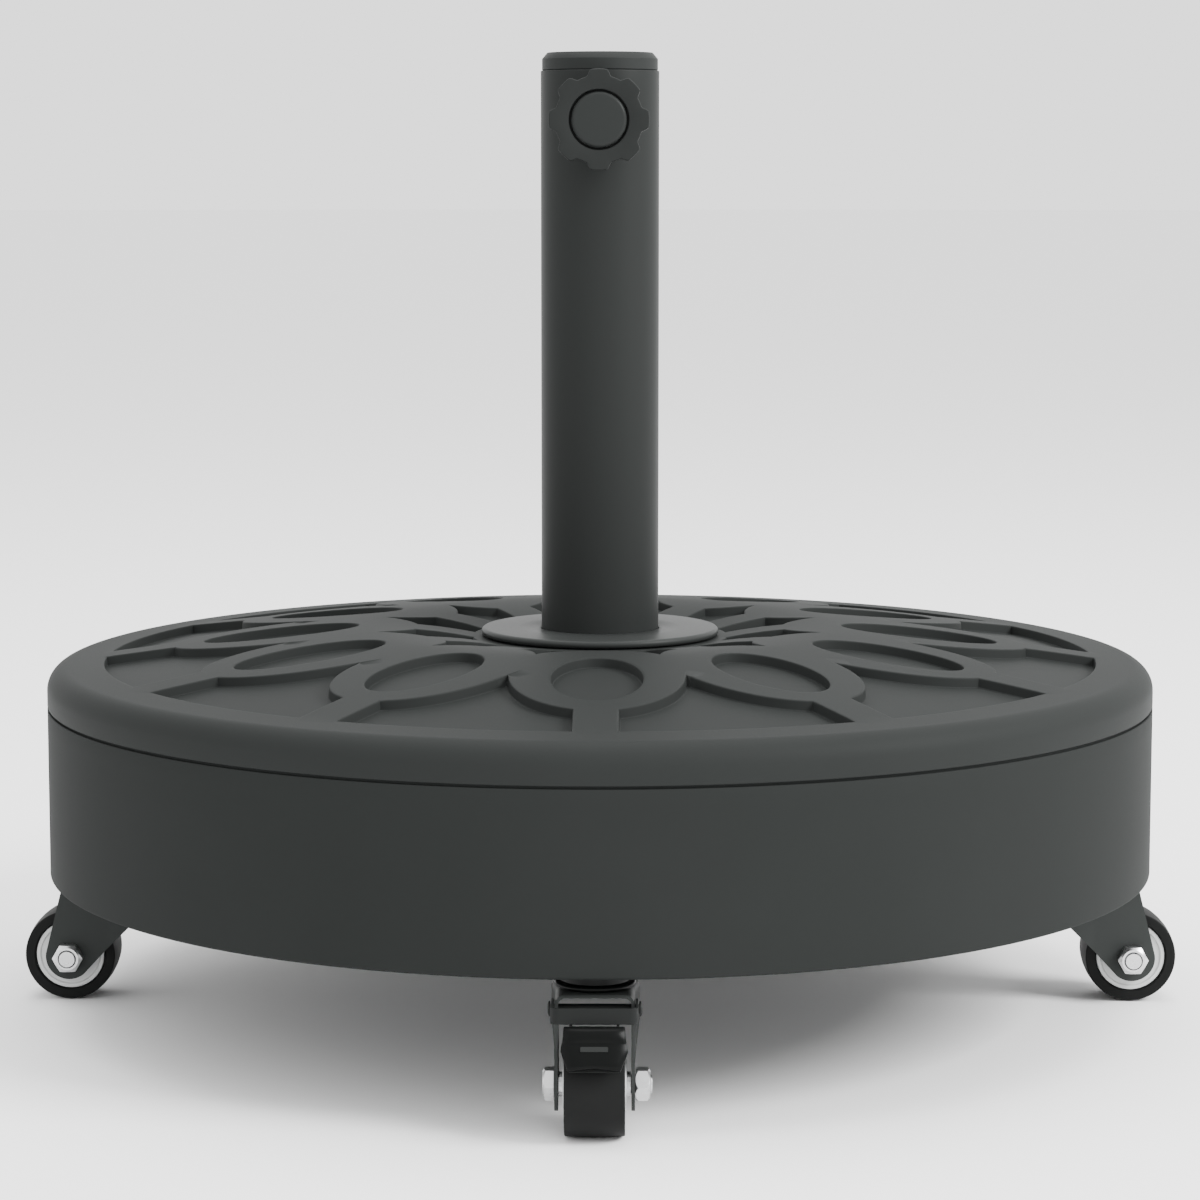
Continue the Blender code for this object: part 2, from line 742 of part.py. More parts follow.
def tyre_mesh():
    """Tyre with flats round its tread, one of them level underneath."""
    half = WHEEL_WIDTH / 2
    to_corner = 1 / math.cos(math.pi / WHEEL_FACETS)
    tread = WHEEL_RADIUS * to_corner
    shoulder = (WHEEL_RADIUS - TYRE_CORNER) * to_corner
    profile = [
        (HUB_RADIUS, -half),
        (shoulder, -half),
        (tread, -half + TYRE_CORNER),
        (tread, half - TYRE_CORNER),
        (shoulder, half),
        (HUB_RADIUS, half),
    ]
    tyre = lying(turned(profile, WHEEL_FACETS, half_step=True))
    return moved(tyre, Matrix.Translation((CASTOR_TRAIL, 0, AXLE_HEIGHT)))


def hub_mesh():
    """Plain-bearing hub with a raised boss round the sleeve."""
    outer = HUB_RADIUS - GAP
    bore = SLEEVE_OUTER + GAP
    boss = WHEEL_WIDTH / 2 + HUB_BOSS_PROUD
    face = WHEEL_WIDTH / 2 - HUB_FACE_RECESS
    profile = [
        (bore, -boss),
        (HUB_BOSS_RADIUS, -boss),
        (HUB_BOSS_RADIUS, -face),
        (outer, -face),
        (outer, face),
        (HUB_BOSS_RADIUS, face),
        (HUB_BOSS_RADIUS, boss),
        (bore, boss),
    ]
    hub = lying(turned(profile, WHEEL_FACETS, half_step=True))
    return moved(hub, Matrix.Translation((CASTOR_TRAIL, 0, AXLE_HEIGHT)))


def sleeve_mesh():
    """Spacer sleeve on the axle between the fork's legs."""
    half = LEG_INNER - GAP
    profile = [(SLEEVE_INNER, -half), (SLEEVE_OUTER, -half), (SLEEVE_OUTER, half), (SLEEVE_INNER, half)]
    sleeve = lying(turned(profile, SMALL_FACETS))
    return moved(sleeve, Matrix.Translation((CASTOR_TRAIL, 0, AXLE_HEIGHT)))


def turned_about(mesh):
    """Turn an axle's bolt or nut end for end."""
    flip = Matrix.Rotation(math.pi, 4, "Z")
    centre = Matrix.Translation((CASTOR_TRAIL, 0, 0))
    return moved(mesh, centre @ flip @ centre.inverted())


def axle_bolt_mesh():
    """Hex bolt across the fork."""
    head_in = LEG_OUTER + GAP
    head = lying(prism([hexagon(AXLE_HEX_FLATS)], -head_in - AXLE_HEAD_HEIGHT, -head_in))
    end = head_in + AXLE_NUT_HEIGHT + AXLE_END_PROUD
    start = -head_in - AXLE_HEAD_HEIGHT / 2
    shank = lying(prism([circle(AXLE_RADIUS, SMALL_FACETS)], start, end))
    bolt = worked(head, ("UNION", shank))
    return moved(bolt, Matrix.Translation((CASTOR_TRAIL, 0, AXLE_HEIGHT)))


def axle_nut_mesh():
    """Hex nut on the bolt's end."""
    inner = LEG_OUTER + GAP
    nut = lying(prism([hexagon(AXLE_HEX_FLATS)], inner, inner + AXLE_NUT_HEIGHT))
    bore = lying(prism([circle(AXLE_RADIUS + GAP, SMALL_FACETS)], 0, 2 * inner))
    nut = worked(nut, ("DIFFERENCE", bore))
    return moved(nut, Matrix.Translation((CASTOR_TRAIL, 0, AXLE_HEIGHT)))


def fork_mesh(braked):
    """Pressed fork: a crown plate and two legs that flare behind a crease."""
    legs = []
    for side in (1, -1):
        legs.append(
            [
                (FORK_FRONT + CASTOR_TRAIL, side * LEG_INNER),
                (FORK_FRONT + CASTOR_TRAIL, side * LEG_OUTER),
                (FORK_CREASE, side * LEG_OUTER),
                (-FORK_BACK - FORK_SHEET, side * (LEG_OUTER + FORK_FLARE)),
                (-FORK_BACK - FORK_SHEET, side * (LEG_INNER + FORK_FLARE)),
                (FORK_CREASE, side * LEG_INNER),
            ]
        )
    blank = prism(legs, 0, CROWN_TOP + CROWN_SHEET)
    heel = AXLE_HEIGHT + LEG_HEEL_RISE
    leg_top = CROWN_BOTTOM + CROWN_SHEET / 2
    outline = [(FORK_FRONT, leg_top)]
    outline += arc((CASTOR_TRAIL, AXLE_HEIGHT), LEG_END_RADIUS, LEG_END_START, LEG_END_STOP, LEG_END_STEPS)
    outline += [(FORK_CREASE, heel), (-FORK_BACK, heel + FORK_BACK + FORK_CREASE), (-FORK_BACK, leg_top)]
    side_view = side_plate(outline, 2 * YOKE_OUTER)
    half_back = LEG_OUTER + FORK_FLARE
    corner = CROWN_CORNER
    crown = arc((FORK_FRONT - corner, LEG_OUTER - corner), corner, 0, 90, 3)
    crown += arc((-FORK_BACK + corner, half_back - corner), corner, 90, 180, 3)
    crown += [(x, -y) for x, y in reversed(crown)]
    plate = prism([crown], CROWN_BOTTOM, CROWN_TOP)
    plate = moved(plate, Matrix.Diagonal((CROWN_OVERHANG, CROWN_OVERHANG, 1, 1)))
    bore = prism([circle(STEM_RADIUS + GAP, SMALL_FACETS)], CROWN_BOTTOM / 2, 2 * CROWN_TOP)
    axle_hole = lying(prism([circle(AXLE_RADIUS + GAP, SMALL_FACETS)], -2 * YOKE_OUTER, 2 * YOKE_OUTER))
    axle_hole = moved(axle_hole, Matrix.Translation((CASTOR_TRAIL, 0, AXLE_HEIGHT)))
    steps = [("INTERSECT", side_view), ("UNION", plate), ("DIFFERENCE", bore), ("DIFFERENCE", axle_hole)]
    if braked:
        pin_hole = lying(prism([circle(BRAKE_PIN_RADIUS + GAP, SMALL_FACETS)], -YOKE_OUTER, YOKE_OUTER))
        pin_hole = moved(pin_hole, Matrix.Translation((BRAKE_PIVOT_OUT, 0, BRAKE_PIVOT_HEIGHT)))
        steps.append(("DIFFERENCE", pin_hole))
    return worked(blank, *steps)


def race_mesh():
    """Swivel cup between the fork and the casing."""
    bore = STEM_RADIUS + GAP
    top = CASING_BOTTOM - GAP
    return turned(
        [
            (bore, RACE_BOTTOM),
            (RACE_RADIUS - RACE_EDGE, RACE_BOTTOM),
            (RACE_RADIUS, RACE_BOTTOM + RACE_EDGE),
            (RACE_RADIUS, top),
            (bore, top),
        ],
        SMALL_FACETS,
    )


def stem_mesh():
    """Kingpin with its head under the crown and its thread in the socket."""
    head_top = CROWN_BOTTOM - GAP
    head_bottom = head_top - STEM_HEAD_HEIGHT
    return turned(
        [
            (0, head_bottom),
            (STEM_HEAD_RADIUS * STEM_HEAD_TAPER, head_bottom),
            (STEM_HEAD_RADIUS, head_bottom + STEM_HEAD_HEIGHT / 2),
            (STEM_HEAD_RADIUS, head_top),
            (STEM_RADIUS, head_top),
            (STEM_RADIUS, CASING_BOTTOM + STEM_REACH),
            (0, CASING_BOTTOM + STEM_REACH),
        ],
        SMALL_FACETS,
    )


def insert_mesh():
    """Threaded insert in the casing's socket."""
    bore = STEM_RADIUS + GAP
    low = CASING_BOTTOM + GAP
    top = low + INSERT_LENGTH
    return turned([(bore, low), (INSERT_RADIUS, low), (INSERT_RADIUS, top), (bore, top)], SMALL_FACETS)


def brake_pin_mesh():
    """Headed pin across the fork for the brake lever."""
    shoulder = YOKE_OUTER + GAP
    end = shoulder + BRAKE_PIN_HEAD_HEIGHT
    profile = [
        (0, -end),
        (BRAKE_PIN_HEAD, -end),
        (BRAKE_PIN_HEAD, -shoulder),
        (BRAKE_PIN_RADIUS, -shoulder),
        (BRAKE_PIN_RADIUS, shoulder),
        (BRAKE_PIN_HEAD, shoulder),
        (BRAKE_PIN_HEAD, end),
        (0, end),
    ]
    pin = lying(turned(profile, SMALL_FACETS))
    return moved(pin, Matrix.Translation((BRAKE_PIVOT_OUT, 0, BRAKE_PIVOT_HEIGHT)))


def yoke_top():
    """Height of the top of the brake yoke's band."""
    return CROWN_BOTTOM - GAP


def tongue_frame():
    """Place of the sloping tongue: X outward, Y across, Z up along the slope."""
    root = (YOKE_REACH - YOKE_SHEET, 0, yoke_top() - YOKE_BAND_HEIGHT)
    return Matrix.Translation(root) @ Matrix.Rotation(-TONGUE_TILT, 4, "Y")


def upright(outline, near, far):
    """Extrude a (y, z) outline along X."""
    plate = prism([outline], near, far)
    swap = Matrix(((0, 0, 1, 0), (1, 0, 0, 0), (0, 1, 0, 0), (0, 0, 0, 1)))
    return moved(plate, swap)


def brake_lever_mesh():
    """Pressed yoke round the fork with a slotted tongue over the wheel."""
    back = BRAKE_PIVOT_OUT - 2 * BRAKE_EAR_RADIUS
    corner = YOKE_CORNER
    outer = [(back, -YOKE_OUTER)]
    outer += arc((YOKE_REACH - corner, -YOKE_OUTER + corner), corner, -90, 0, 3)
    outer += arc((YOKE_REACH - corner, YOKE_OUTER - corner), corner, 0, 90, 3)
    outer += [(back, YOKE_OUTER), (back, YOKE_INNER)]
    inner = corner - YOKE_SHEET
    outer += arc((YOKE_REACH - corner, YOKE_OUTER - corner), inner, 90, 0, 3)
    outer += arc((YOKE_REACH - corner, -YOKE_OUTER + corner), inner, 0, -90, 3)
    outer += [(back, -YOKE_INNER)]
    band = prism([outer], AXLE_HEIGHT, CASING_BOTTOM)
    top = yoke_top()
    pivot = (BRAKE_PIVOT_OUT, BRAKE_PIVOT_HEIGHT)
    outline = arc(pivot, BRAKE_EAR_RADIUS, 90, 270, 6)
    outline += [(YOKE_REACH + corner, top - YOKE_BAND_HEIGHT), (YOKE_REACH + corner, top)]
    outline.append((YOKE_REACH - 2 * corner, top))
    side_view = side_plate(outline, 2 * YOKE_OUTER)
    root = YOKE_BAND_HEIGHT / 3
    plate = [(-TONGUE_HALF_WIDTH, root), (-TONGUE_HALF_WIDTH, -TONGUE_LENGTH)]
    plate += [(TONGUE_HALF_WIDTH, -TONGUE_LENGTH), (TONGUE_HALF_WIDTH, root)]
    tongue = upright(plate, -YOKE_SHEET / 2, YOKE_SHEET / 2)
    half_slot = TONGUE_HALF_WIDTH - TONGUE_SLOT_MARGIN
    slot = [(-half_slot, 0), (-half_slot, -TONGUE_SLOT_HEIGHT)]
    slot += [(half_slot, -TONGUE_SLOT_HEIGHT), (half_slot, 0)]
    tongue = moved(worked(tongue, ("DIFFERENCE", upright(slot, -corner, corner))), tongue_frame())
    hole = lying(prism([circle(BRAKE_PIN_RADIUS + GAP, SMALL_FACETS)], -2 * YOKE_OUTER, 2 * YOKE_OUTER))
    hole = moved(hole, Matrix.Translation((pivot[0], 0, pivot[1])))
    return worked(band, ("INTERSECT", side_view), ("DIFFERENCE", hole), ("UNION", tongue))


def brake_shoe_mesh():
    """Moulded pedal on the tongue, widest at mid height and crowned in front."""
    top = -TONGUE_SLOT_HEIGHT - GAP
    foot = -TONGUE_LENGTH
    middle = top + (foot - top) * SHOE_WIDEST
    right = [
        (SHOE_HALF_WIDTH_TOP, top),
        (SHOE_HALF_WIDTH_MIDDLE, middle),
        (SHOE_HALF_WIDTH_FOOT, foot),
        (0, foot + SHOE_FOOT_NOTCH),
    ]
    outline = right + [(-across, along) for across, along in reversed(right[:-1])]
    near = YOKE_SHEET / 2 + GAP
    shoe = upright(outline, near, near + SHOE_THICKNESS)
    for point in shoe.vertices:
        if point.co.x > near + GAP:
            point.co.y *= 1 - SHOE_CROWN / SHOE_HALF_WIDTH_TOP
            point.co.z += SHOE_CROWN if point.co.z < middle - GAP else 0
            point.co.z -= SHOE_CROWN if point.co.z > middle + GAP else 0
    return moved(shoe, tongue_frame())


def build_base(finishes):
    """Everything that stands still."""
    place("bottom_casing", bottom_casing_mesh(), finishes["casing"])
    place("concrete_ballast", ballast_mesh(), finishes["concrete"])
    place("top_cover", top_cover_mesh(), finishes["cover"])
    place("pole_tube", pole_tube_mesh(), finishes["tube"])
    place("tube_collar", collar_mesh(), finishes["cover"])
    place("tube_foot_plate", foot_plate_mesh(), finishes["zinc"])
    place("foot_washer", foot_washer_mesh(), finishes["zinc"])
    place("foot_bolt", foot_bolt_mesh(), finishes["zinc"])
    place("foot_nut", foot_nut_mesh(), finishes["zinc"])
    place("pole_seat", pole_seat_mesh(), finishes["adapter"])
    place("clamp_boss", clamp_boss_mesh(), finishes["tube"])


def build_clamp(finishes):
    """Adapter sleeve, clamp screw and knob."""
    lift = joint_empty("adapter_lift", (0, 0, TUBE_TOP))
    sleeve = moved(adapter_mesh(), Matrix.Translation((0, 0, -TUBE_TOP)))
    place("adapter_sleeve", sleeve, finishes["adapter"], lift)
    axis = joint_empty("clamp_axis", (0, -GRIP_BACK, CLAMP_HEIGHT))
    to_axis = Matrix.Translation((0, GRIP_BACK, -CLAMP_HEIGHT))
    place("clamp_screw", moved(clamp_screw_mesh(), to_axis), finishes["zinc"], axis)
    place("knob_cap", moved(knob_cap_mesh(), to_axis), finishes["cap"], axis)
    place("knob_grip", moved(knob_grip_mesh(), to_axis), finishes["grip"], axis)


def build_castors(finishes):
    """Four castors, with a brake at the front and at the back."""
    shared = {
        "castor_stem": (stem_mesh(), "zinc"),
        "thread_insert": (insert_mesh(), "zinc"),
        "castor_race": (race_mesh(), "fork"),
        "axle_sleeve": (sleeve_mesh(), "zinc"),
    }
    wheel = {"wheel_tyre": (tyre_mesh(), "tyre"), "wheel_hub": (hub_mesh(), "hub")}
    brake = {"brake_lever": (brake_lever_mesh(), "lever"), "brake_shoe": (brake_shoe_mesh(), "shoe")}
    forks = {braked: fork_mesh(braked) for braked in (False, True)}
    wheel_centre = (CASTOR_TRAIL, 0, AXLE_HEIGHT)
    brake_pivot = (BRAKE_PIVOT_OUT, 0, BRAKE_PIVOT_HEIGHT)
    for side, direction in castor_places():
        angle = math.radians(direction)
        axis_place = (CASTOR_ORBIT * math.cos(angle), CASTOR_ORBIT * math.sin(angle), 0)
        swivel = joint_empty(f"swivel_{side}", axis_place, turn=angle)
        braked = side in ("front", "back")
        place(f"castor_fork_{side}", forks[braked], finishes["fork"], swivel)
        for name, (mesh, finish) in shared.items():
            place(f"{name}_{side}", mesh, finishes[finish], swivel)
        for name, mesh in (("axle_bolt", axle_bolt_mesh()), ("axle_nut", axle_nut_mesh())):
            if side == "right":
                mesh = turned_about(mesh)
            place(f"{name}_{side}", mesh, finishes["zinc"], swivel)
        for name, (mesh, finish) in wheel.items():
            place(f"{name}_{side}", mesh, finishes[finish], swivel, wheel_centre)
        if braked:
            place(f"brake_pin_{side}", brake_pin_mesh(), finishes["zinc"], swivel)
            for name, (mesh, finish) in brake.items():
                place(f"{name}_{side}", mesh, finishes[finish], swivel, brake_pivot)


def build():
    """Build the whole base."""
    clear_scene()
    finishes = {
        "casing": finish_material("casing_plastic", (0.050, 0.054, 0.053), 0.55),
        "cover": finish_material("cover_plastic", (0.055, 0.059, 0.058), 0.50),
        "concrete": finish_material("concrete", (0.42, 0.41, 0.39), 0.90),
        "tube": finish_material("tube_paint", (0.050, 0.054, 0.053), 0.50),
        "adapter": finish_material("adapter_plastic", (0.045, 0.049, 0.048), 0.55),
        "grip": finish_material("grip_plastic", (0.048, 0.052, 0.051), 0.50),
        "cap": finish_material("cap_plastic", (0.048, 0.052, 0.051), 0.35),
        "zinc": finish_material("zinc_plate", (0.75, 0.75, 0.74), 0.25, 1.0),
        "fork": finish_material("fork_paint", (0.050, 0.053, 0.053), 0.40),
        "lever": finish_material("lever_paint", (0.060, 0.062, 0.062), 0.40),
        "tyre": finish_material("tyre_rubber", (0.020, 0.021, 0.020), 0.65),
        "hub": finish_material("hub_plastic", (0.55, 0.56, 0.55), 0.45),
        "shoe": finish_material("shoe_plastic", (0.008, 0.009, 0.009), 0.20),
    }
    build_base(finishes)
    build_clamp(finishes)
    build_castors(finishes)


build()
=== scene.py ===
import json
import math

import bmesh
import bpy
from mathutils import Matrix, Vector
from mathutils.geometry import delaunay_2d_cdt


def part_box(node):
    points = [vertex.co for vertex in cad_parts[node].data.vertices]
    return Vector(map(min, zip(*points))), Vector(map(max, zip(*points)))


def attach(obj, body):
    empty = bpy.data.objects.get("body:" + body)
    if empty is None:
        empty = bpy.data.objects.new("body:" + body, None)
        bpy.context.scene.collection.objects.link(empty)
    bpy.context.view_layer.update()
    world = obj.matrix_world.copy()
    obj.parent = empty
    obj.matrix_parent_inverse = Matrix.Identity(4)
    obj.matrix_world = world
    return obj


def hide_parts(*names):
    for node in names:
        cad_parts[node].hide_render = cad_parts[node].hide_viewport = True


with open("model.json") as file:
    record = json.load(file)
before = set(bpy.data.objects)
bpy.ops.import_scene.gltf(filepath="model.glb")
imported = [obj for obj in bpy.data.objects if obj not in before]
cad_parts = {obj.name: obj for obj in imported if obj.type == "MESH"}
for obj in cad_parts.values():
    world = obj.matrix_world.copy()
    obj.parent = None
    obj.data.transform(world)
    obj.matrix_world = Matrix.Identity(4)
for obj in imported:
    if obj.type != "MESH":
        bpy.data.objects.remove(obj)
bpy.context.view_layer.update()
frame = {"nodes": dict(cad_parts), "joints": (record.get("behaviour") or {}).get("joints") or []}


# ---------------------------
# Bottom casing
# The plain drum under the seam: a pan of moulded anthracite polypropylene with
# a 3 mm wall. A thin lip stands up inside the cover's skirt, and four blind
# sockets in the floor take the castors' threaded inserts.

CASING_FACETS = 288
CASING_WALL = 0.003
CASING_LIP = 0.0016
CASING_FOOT_RADIUS = 0.0014
SEAM_EDGE_RADIUS = 0.0004
SEAM_GAP = 0.0012
SOCKET_RADIUS = 0.0127
SOCKET_BORE = 0.0082
SOCKET_ROOF = 0.0929
SOCKET_FACETS = 48
FOOT_BOLT_HOLE = 0.0063

pan_low, pan_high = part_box("bottom_casing")
cover_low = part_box("top_cover")[0]
drum_radius = (pan_high.x - pan_low.x) / 2
seam_height = cover_low.z - SEAM_GAP


def bend(centre, radius, start, end, steps):
    """Points of a round corner between two angles in degrees."""
    angles = [math.radians(start + (end - start) * step / steps) for step in range(steps + 1)]
    return [(centre[0] + radius * math.cos(a), centre[1] + radius * math.sin(a)) for a in angles]


def ring_points(radius, facets, centre=(0.0, 0.0)):
    """Points of a full circle."""
    angles = [step * math.tau / facets for step in range(facets)]
    return [(centre[0] + radius * math.cos(a), centre[1] + radius * math.sin(a)) for a in angles]


def turned(profile, facets):
    """Turn a closed (radius, height) outline round Z."""
    shape = bmesh.new()
    rings = []
    for radius, height in profile:
        if radius == 0:
            rings.append([shape.verts.new((0, 0, height))] * facets)
            continue
        rings.append([shape.verts.new((x, y, height)) for x, y in ring_points(radius, facets)])
    for lower, upper in zip(rings, rings[1:] + rings[:1]):
        for step in range(facets):
            after = (step + 1) % facets
            corners = list(dict.fromkeys([lower[step], lower[after], upper[after], upper[step]]))
            if len(corners) > 2:
                shape.faces.new(corners)
    return shape


def pressed(outlines, low, high):
    """Extrude closed (x, y) outlines between two heights."""
    shape = bmesh.new()
    for outline in outlines:
        face = shape.faces.new([shape.verts.new((x, y, low)) for x, y in outline])
        lifted = bmesh.ops.extrude_face_region(shape, geom=[face])["geom"]
        corners = [part for part in lifted if isinstance(part, bmesh.types.BMVert)]
        bmesh.ops.translate(shape, verts=corners, vec=(0, 0, high - low))
    return shape


def as_piece(name, shape, finish=None, crease=32):
    """Turn a bmesh into a smooth-shaded piece with its sharp edges kept."""
    bmesh.ops.recalc_face_normals(shape, faces=shape.faces)
    mesh = bpy.data.meshes.new(name)
    shape.to_mesh(mesh)
    shape.free()
    mesh.shade_smooth()
    mesh.set_sharp_from_angle(angle=math.radians(crease))
    if finish is not None:
        mesh.materials.append(finish)
    piece = bpy.data.objects.new(name, mesh)
    bpy.context.scene.collection.objects.link(piece)
    return piece


def carved(piece, *cuts):
    """Apply (operation, shape) Boolean steps to a piece."""
    tools = []
    for operation, shape in cuts:
        tool = as_piece("tool", shape)
        tools.append(tool)
        step = piece.modifiers.new(operation, "BOOLEAN")
        step.operation = operation
        step.solver = "EXACT"
        step.object = tool
    graph = bpy.context.evaluated_depsgraph_get()
    mesh = bpy.data.meshes.new_from_object(piece.evaluated_get(graph))
    piece.modifiers.clear()
    piece.data = mesh
    for tool in tools:
        bpy.data.objects.remove(tool)
    return piece


def finished(piece, finish, crease=32):
    """Give a carved piece its finish and shade it smooth with its sharp edges kept."""
    piece.data.materials.clear()
    piece.data.materials.append(finish)
    piece.data.shade_smooth()
    piece.data.set_sharp_from_angle(angle=math.radians(crease))
    return piece


def settle(piece, body, slot, *nodes):
    """Let a piece ride on its body and stand for its CAD nodes."""
    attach(piece, body)
    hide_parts(*nodes)


def new_finish(name, specular=0.5):
    """A material whose shader has a given specular level."""
    finish = bpy.data.materials.new(name)
    finish.use_nodes = True
    finish.node_tree.nodes["Principled BSDF"].inputs["Specular IOR Level"].default_value = specular
    return finish


def texture_of(finish, kind, scale):
    """A texture laid in the piece's own coordinates."""
    nodes = finish.node_tree.nodes
    texture = nodes.new(kind)
    texture.inputs["Scale"].default_value = scale
    place = nodes.new("ShaderNodeTexCoord")
    finish.node_tree.links.new(place.outputs["Object"], texture.inputs["Vector"])
    return texture


def noise(finish, scale, detail=2.0):
    """A cloudy texture of a given grain."""
    texture = texture_of(finish, "ShaderNodeTexNoise", scale)
    texture.inputs["Detail"].default_value = detail
    return texture


def tinted(finish, texture, dark, light):
    """Vary the colour between two tones."""
    nodes, links = finish.node_tree.nodes, finish.node_tree.links
    tone = nodes.new("ShaderNodeMix")
    tone.data_type = "RGBA"
    tone.inputs["A"].default_value = (*dark, 1.0)
    tone.inputs["B"].default_value = (*light, 1.0)
    links.new(texture.outputs["Fac"], tone.inputs["Factor"])
    links.new(tone.outputs["Result"], nodes["Principled BSDF"].inputs["Base Color"])


def glossed(finish, texture, low, high):
    """Vary the roughness between two values."""
    nodes, links = finish.node_tree.nodes, finish.node_tree.links
    gloss = nodes.new("ShaderNodeMapRange")
    gloss.inputs["To Min"].default_value = low
    gloss.inputs["To Max"].default_value = high
    links.new(texture.outputs["Fac"], gloss.inputs["Value"])
    links.new(gloss.outputs["Result"], nodes["Principled BSDF"].inputs["Roughness"])


def embossed(finish, relief, strength, depth):
    """Raise a fine relief from a texture's output."""
    nodes, links = finish.node_tree.nodes, finish.node_tree.links
    bump = nodes.new("ShaderNodeBump")
    bump.inputs["Strength"].default_value = strength
    bump.inputs["Distance"].default_value = depth
    links.new(relief, bump.inputs["Height"])
    links.new(bump.outputs["Normal"], nodes["Principled BSDF"].inputs["Normal"])


def moulded_plastic(name, dark, light, rough, sheen_spread=0.05, grain=1500.0, specular=0.05):
    """Satin moulded plastic: faint cloudy tone, fine spark-eroded grain."""
    finish = new_finish(name, specular)
    sparked = noise(finish, grain, 3.0)
    tinted(finish, noise(finish, 14.0, 5.0), dark, light)
    glossed(finish, sparked, rough - sheen_spread, rough + sheen_spread)
    embossed(finish, sparked.outputs["Fac"], 0.35, 0.00002)
    return finish


CASING_TONES = ((0.0150, 0.0163, 0.0157), (0.0175, 0.0190, 0.0184))
casing_plastic = moulded_plastic("casing_plastic", *CASING_TONES, 0.62, specular=0.025)


def castor_sides():
    """Each castor's side, swivel point and outward turn, from the frame's joints."""
    found = []
    for joint in frame["joints"]:
        if joint["name"].startswith("castor_swivel_"):
            x, y, _ = joint["pos_m"]
            found.append((joint["name"].rsplit("_", 1)[1], x, y, math.atan2(y, x)))
    return found


def casing_shape():
    """The pan's turned outline: rounded foot, wall, seam edge and lip."""
    wall = drum_radius - CASING_WALL
    lip = wall + CASING_LIP
    foot = CASING_FOOT_RADIUS
    edge = SEAM_EDGE_RADIUS
    profile = [(FOOT_BOLT_HOLE, pan_low.z)]
    profile += bend((drum_radius - foot, pan_low.z + foot), foot, -90, 0, 5)
    drum = seam_height - pan_low.z
    profile += [(drum_radius, pan_low.z + drum * share) for share in (0.3, 0.65, 0.9)]
    profile += bend((drum_radius - edge, seam_height - edge), edge, 0, 90, 3)
    profile += [(lip, seam_height), (lip, pan_high.z - edge)]
    profile += [(lip - edge, pan_high.z), (wall, pan_high.z), (wall, pan_low.z + CASING_WALL)]
    profile += [(FOOT_BOLT_HOLE, pan_low.z + CASING_WALL)]
    return turned(profile, CASING_FACETS)


socket_centres = [(x, y) for _, x, y, _ in castor_sides()]
sockets = [ring_points(SOCKET_RADIUS, SOCKET_FACETS, centre) for centre in socket_centres]
bores = [ring_points(SOCKET_BORE, SOCKET_FACETS, centre) for centre in socket_centres]
casing_shell = as_piece("casing_shell", casing_shape())
carved(
    casing_shell,
    ("UNION", pressed(sockets, pan_low.z + CASING_WALL / 2, SOCKET_ROOF + CASING_WALL)),
    ("DIFFERENCE", pressed(bores, pan_low.z - CASING_WALL, SOCKET_ROOF)),
)
settle(finished(casing_shell, casing_plastic), "base", "casing_plastic", "bottom_casing")


# ---------------------------
# Concrete ballast
# The weight is a ring of grey concrete, cast to fit between the casing's wall
# and the tube and left as it came out of its mould, with pores and pale lime.


def cast_concrete(name):
    """Grey cement with darker damp patches, sand grains and open pores."""
    finish = new_finish(name)
    nodes, links = finish.node_tree.nodes, finish.node_tree.links
    shader = nodes["Principled BSDF"]
    shader.inputs["Roughness"].default_value = 0.92
    tone = nodes.new("ShaderNodeValToRGB")
    damp, dry = tone.color_ramp.elements
    damp.position, damp.color = 0.3, (0.24, 0.235, 0.22, 1)
    dry.position, dry.color = 0.75, (0.46, 0.45, 0.42, 1)
    links.new(noise(finish, 22.0, 8.0).outputs["Fac"], tone.inputs["Fac"])
    links.new(tone.outputs["Color"], shader.inputs["Base Color"])
    pores = texture_of(finish, "ShaderNodeTexVoronoi", 260.0)
    embossed(finish, pores.outputs["Distance"], 1.0, 0.0008)
    return finish


def refinish(node, finish):
    """Give a CAD node that keeps its shape its real finish."""
    mesh = frame["nodes"][node].data
    mesh.materials.clear()
    mesh.materials.append(finish)


refinish("concrete_ballast", cast_concrete("cast_concrete"))


# ---------------------------
# Plated steel fixings
# The foot plate, washer, bolt and nut hold the tube down through the casing's
# floor, and a threaded insert sits in each socket. All are turned or stamped
# steel with a bright zinc plating that is a little cloudy up close.


def zinc_plate(name, bright, rough):
    """Bright zinc: cloudy crystals in the tone and in the gloss."""
    finish = new_finish(name)
    finish.node_tree.nodes["Principled BSDF"].inputs["Metallic"].default_value = 1.0
    bloom = noise(finish, 420.0, 4.0)
    dull = (bright * 0.93, bright * 0.94, bright * 0.94)
    clear = (bright * 1.04, bright * 1.05, bright * 1.06)
    tinted(finish, bloom, dull, clear)
    glossed(finish, bloom, rough - 0.07, rough + 0.09)
    return finish


zinc = zinc_plate("zinc_plate", 0.62, 0.28)
for node in ("tube_foot_plate", "foot_washer", "foot_bolt", "foot_nut"):
    refinish(node, zinc)
for side, _, _, _ in castor_sides():
    refinish("thread_insert_" + side, zinc)


# ---------------------------
# Top cover
# One domed moulding in the same anthracite plastic. Twelve petals, their stems,
# the hub ring and the broad rounded rim stand 4.3 mm proud of shallow pockets
# with slightly drafted walls; the skirt slips over the casing's lip.

